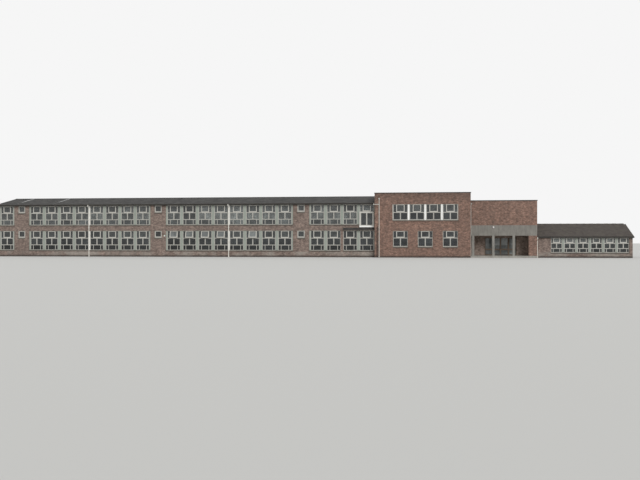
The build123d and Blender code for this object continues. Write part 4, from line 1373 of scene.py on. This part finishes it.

# The waste pipe's sockets, and the elbow that brings it out of the wall. Their black is partly
# painted shade in the corner beside the tower's pale pipe.
waste = {"elbow": 0.0195, "into": 0.01, "rise": 0.022, "lap": 0.002}
wasteLow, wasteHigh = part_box("waste_pipe")
wasteX = (wasteLow.x + wasteHigh.x) / 2
wasteFittings = bmesh.new()
addCollars(wasteFittings, wasteX, towerLow.y, pipeTops["waste"], radius=slimCollar)
addRod(
    wasteFittings, (wasteX, towerPipeY + waste["lap"], wasteHigh.z - waste["lap"]),
    (wasteX, towerLow.y + waste["into"], wasteHigh.z + waste["rise"]), waste["elbow"],
    pipes["sides"],
)
finishPiece("waste_pipe_fittings", [wasteFittings], wasteIronAndShade, "cast_iron", smooth=True)
print("gutters and pipes")

# Round bulkhead lamps: an iron rim round each glass
lamps = {"radius": 0.052, "rim": 0.06, "depth": 0.014, "lip": 0.004, "steps": 24}
lampLow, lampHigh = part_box("wall_lamps")
lampRims = bmesh.new()
rimProfile = (
    (lamps["radius"], 0), (lamps["rim"], 0), (lamps["rim"], -lamps["depth"]),
    (lamps["radius"], -lamps["depth"] - lamps["lip"]),
)
for x, y, z in (
    (lampLow.x + lamps["radius"], wingFront, lampLow.z + lamps["radius"]),
    (lampHigh.x - lamps["radius"], linkLow.y, lampHigh.z - lamps["radius"]),
):
    place = Matrix.Translation((x, y, z))
    addRing(lampRims, place, rimProfile, (0, 1, 0), 2 * pi, lamps["steps"])
finishPiece("lamp_rims", [lampRims], gutterIron, "cast_iron", smooth=True)

# Entrance screen: stiles and rails on the four leaves, kick plates and pull handles on the doors
doors = {
    "leaves": 4, "edge": 0.016, "gap": 0.001, "foot": 0.004, "head": 0.012, "rail": 0.35,
    "proud": 0.008, "kick": 0.1, "kickEdge": 0.01, "kickFace": 0.011,
}
handle = {
    "length": 0.2, "foot": 0.5, "inset": 0.02, "out": 0.03, "radius": 0.006, "stud": 0.004,
    "studIn": 0.002, "studSides": 8,
}
doorSash = {"stile": 0.03, "foot": 0.03, "depth": 0.02, "arris": 0.002, "putty": 0.004}
doorBars, doorMetal = bmesh.new(), bmesh.new()
leafWidth = (screenHigh.x - screenLow.x) / doors["leaves"]
railZ, doorFront = screenLow.z + doors["rail"], screenLow.y - doors["proud"]
for number in range(doors["leaves"]):
    left = screenLow.x + number * leafWidth + doors["edge"]
    right = left + leafWidth - 2 * doors["edge"]
    for bottom, top in (
        (railZ + doors["gap"], screenHigh.z - doors["head"]),
        (screenLow.z + doors["foot"], railZ - doors["gap"]),
    ):
        addSash(doorBars, left, right, bottom, top, doorFront, doorSash)
    if number in (1, 2):
        kickFoot = screenLow.z + doors["kickEdge"]
        addBlock(
            doorMetal, (left + doors["kickEdge"], screenLow.y - doors["kickFace"], kickFoot),
            (right - doors["kickEdge"], doorFront, kickFoot + doors["kick"]),
        )
        x = right - handle["inset"] if number == 1 else left + handle["inset"]
        y, foot = screenLow.y - handle["out"], handle["foot"]
        head = foot + handle["length"]
        addRod(doorMetal, (x, y, foot), (x, y, head), handle["radius"])
        for z in (foot + handle["inset"], head - handle["inset"]):
            studEnd = (x, doorFront + handle["studIn"], z)
            addRod(doorMetal, (x, y, z), studEnd, handle["stud"], handle["studSides"])
finishPiece("entrance_bars", [doorBars], darkWood, "painted_timber")
finishPiece("door_handles", [doorMetal], gutterIron, "cast_iron", smooth=True)
print("lamps and doors")

# Floor, sky and light
stage = {"size": 400, "below": 0.002, "floor": "#cfcfcc", "sky": "#f6f6f6", "skyLight": 0.55}
floorMesh = bmesh.new()
bmesh.ops.create_grid(floorMesh, x_segments=1, y_segments=1, size=stage["size"] / 2)
bmesh.ops.translate(floorMesh, vec=(0, 0, -stage["below"]), verts=floorMesh.verts)
mesh = bpy.data.meshes.new("studioFloor")
floorMesh.to_mesh(mesh)
floorMesh.free()
floorPiece = bpy.data.objects.new("studioFloor", mesh)
bpy.context.scene.collection.objects.link(floorPiece)
floorPaper, _, floorShader, _ = startMaterial("floorPaper", 0.9)
floorShader.inputs["Base Color"].default_value = paint(stage["floor"])
mesh.materials.append(floorPaper)

world = bpy.data.worlds.new("studioSky")
bpy.context.scene.world = world
world.use_nodes = True
skyTree = world.node_tree
for node in list(skyTree.nodes):
    skyTree.nodes.remove(node)
rays = addNode(skyTree, "LightPath").outputs
mirrored = calculate(skyTree, "MAXIMUM", rays["Is Glossy Ray"], rays["Is Transmission Ray"])
seen = calculate(skyTree, "MAXIMUM", rays["Is Camera Ray"], mirrored)
lit = addNode(skyTree, "Background", {"Color": (1, 1, 1, 1), "Strength": stage["skyLight"]})
shown = addNode(skyTree, "Background", {"Color": stage["sky"], "Strength": 1})
sky = addNode(skyTree, "MixShader", {0: seen, 1: lit.outputs[0], 2: shown.outputs[0]})
addNode(skyTree, "OutputWorld", {"Surface": sky.outputs[0]})

sun = {"strength": 2.05, "angle": radians(34), "tilt": radians(61), "turn": radians(28)}
lamp = bpy.data.lights.new("softSun", "SUN")
lamp.energy = sun["strength"]
lamp.angle = sun["angle"]
lampPiece = bpy.data.objects.new("softSun", lamp)
lampPiece.rotation_euler = (sun["tilt"], 0, sun["turn"])
bpy.context.scene.collection.objects.link(lampPiece)

# The camera stands where the photograph was taken from
shot = {"lens": 45.1, "place": (7.694, -51.393, 1.070), "pitch": -0.015, "yaw": 7.41}
camera = bpy.data.objects.new("photoCamera", bpy.data.cameras.new("photoCamera"))
camera.data.lens = shot["lens"]
camera.data.sensor_width = 36
camera.data.clip_end = 1000
camera.location = shot["place"]
camera.rotation_euler = (radians(90 + shot["pitch"]), 0, radians(shot["yaw"]))
bpy.context.scene.collection.objects.link(camera)
bpy.context.scene.camera = camera
bpy.context.scene.view_settings.view_transform = "Standard"
print("floor, sky, light and camera")
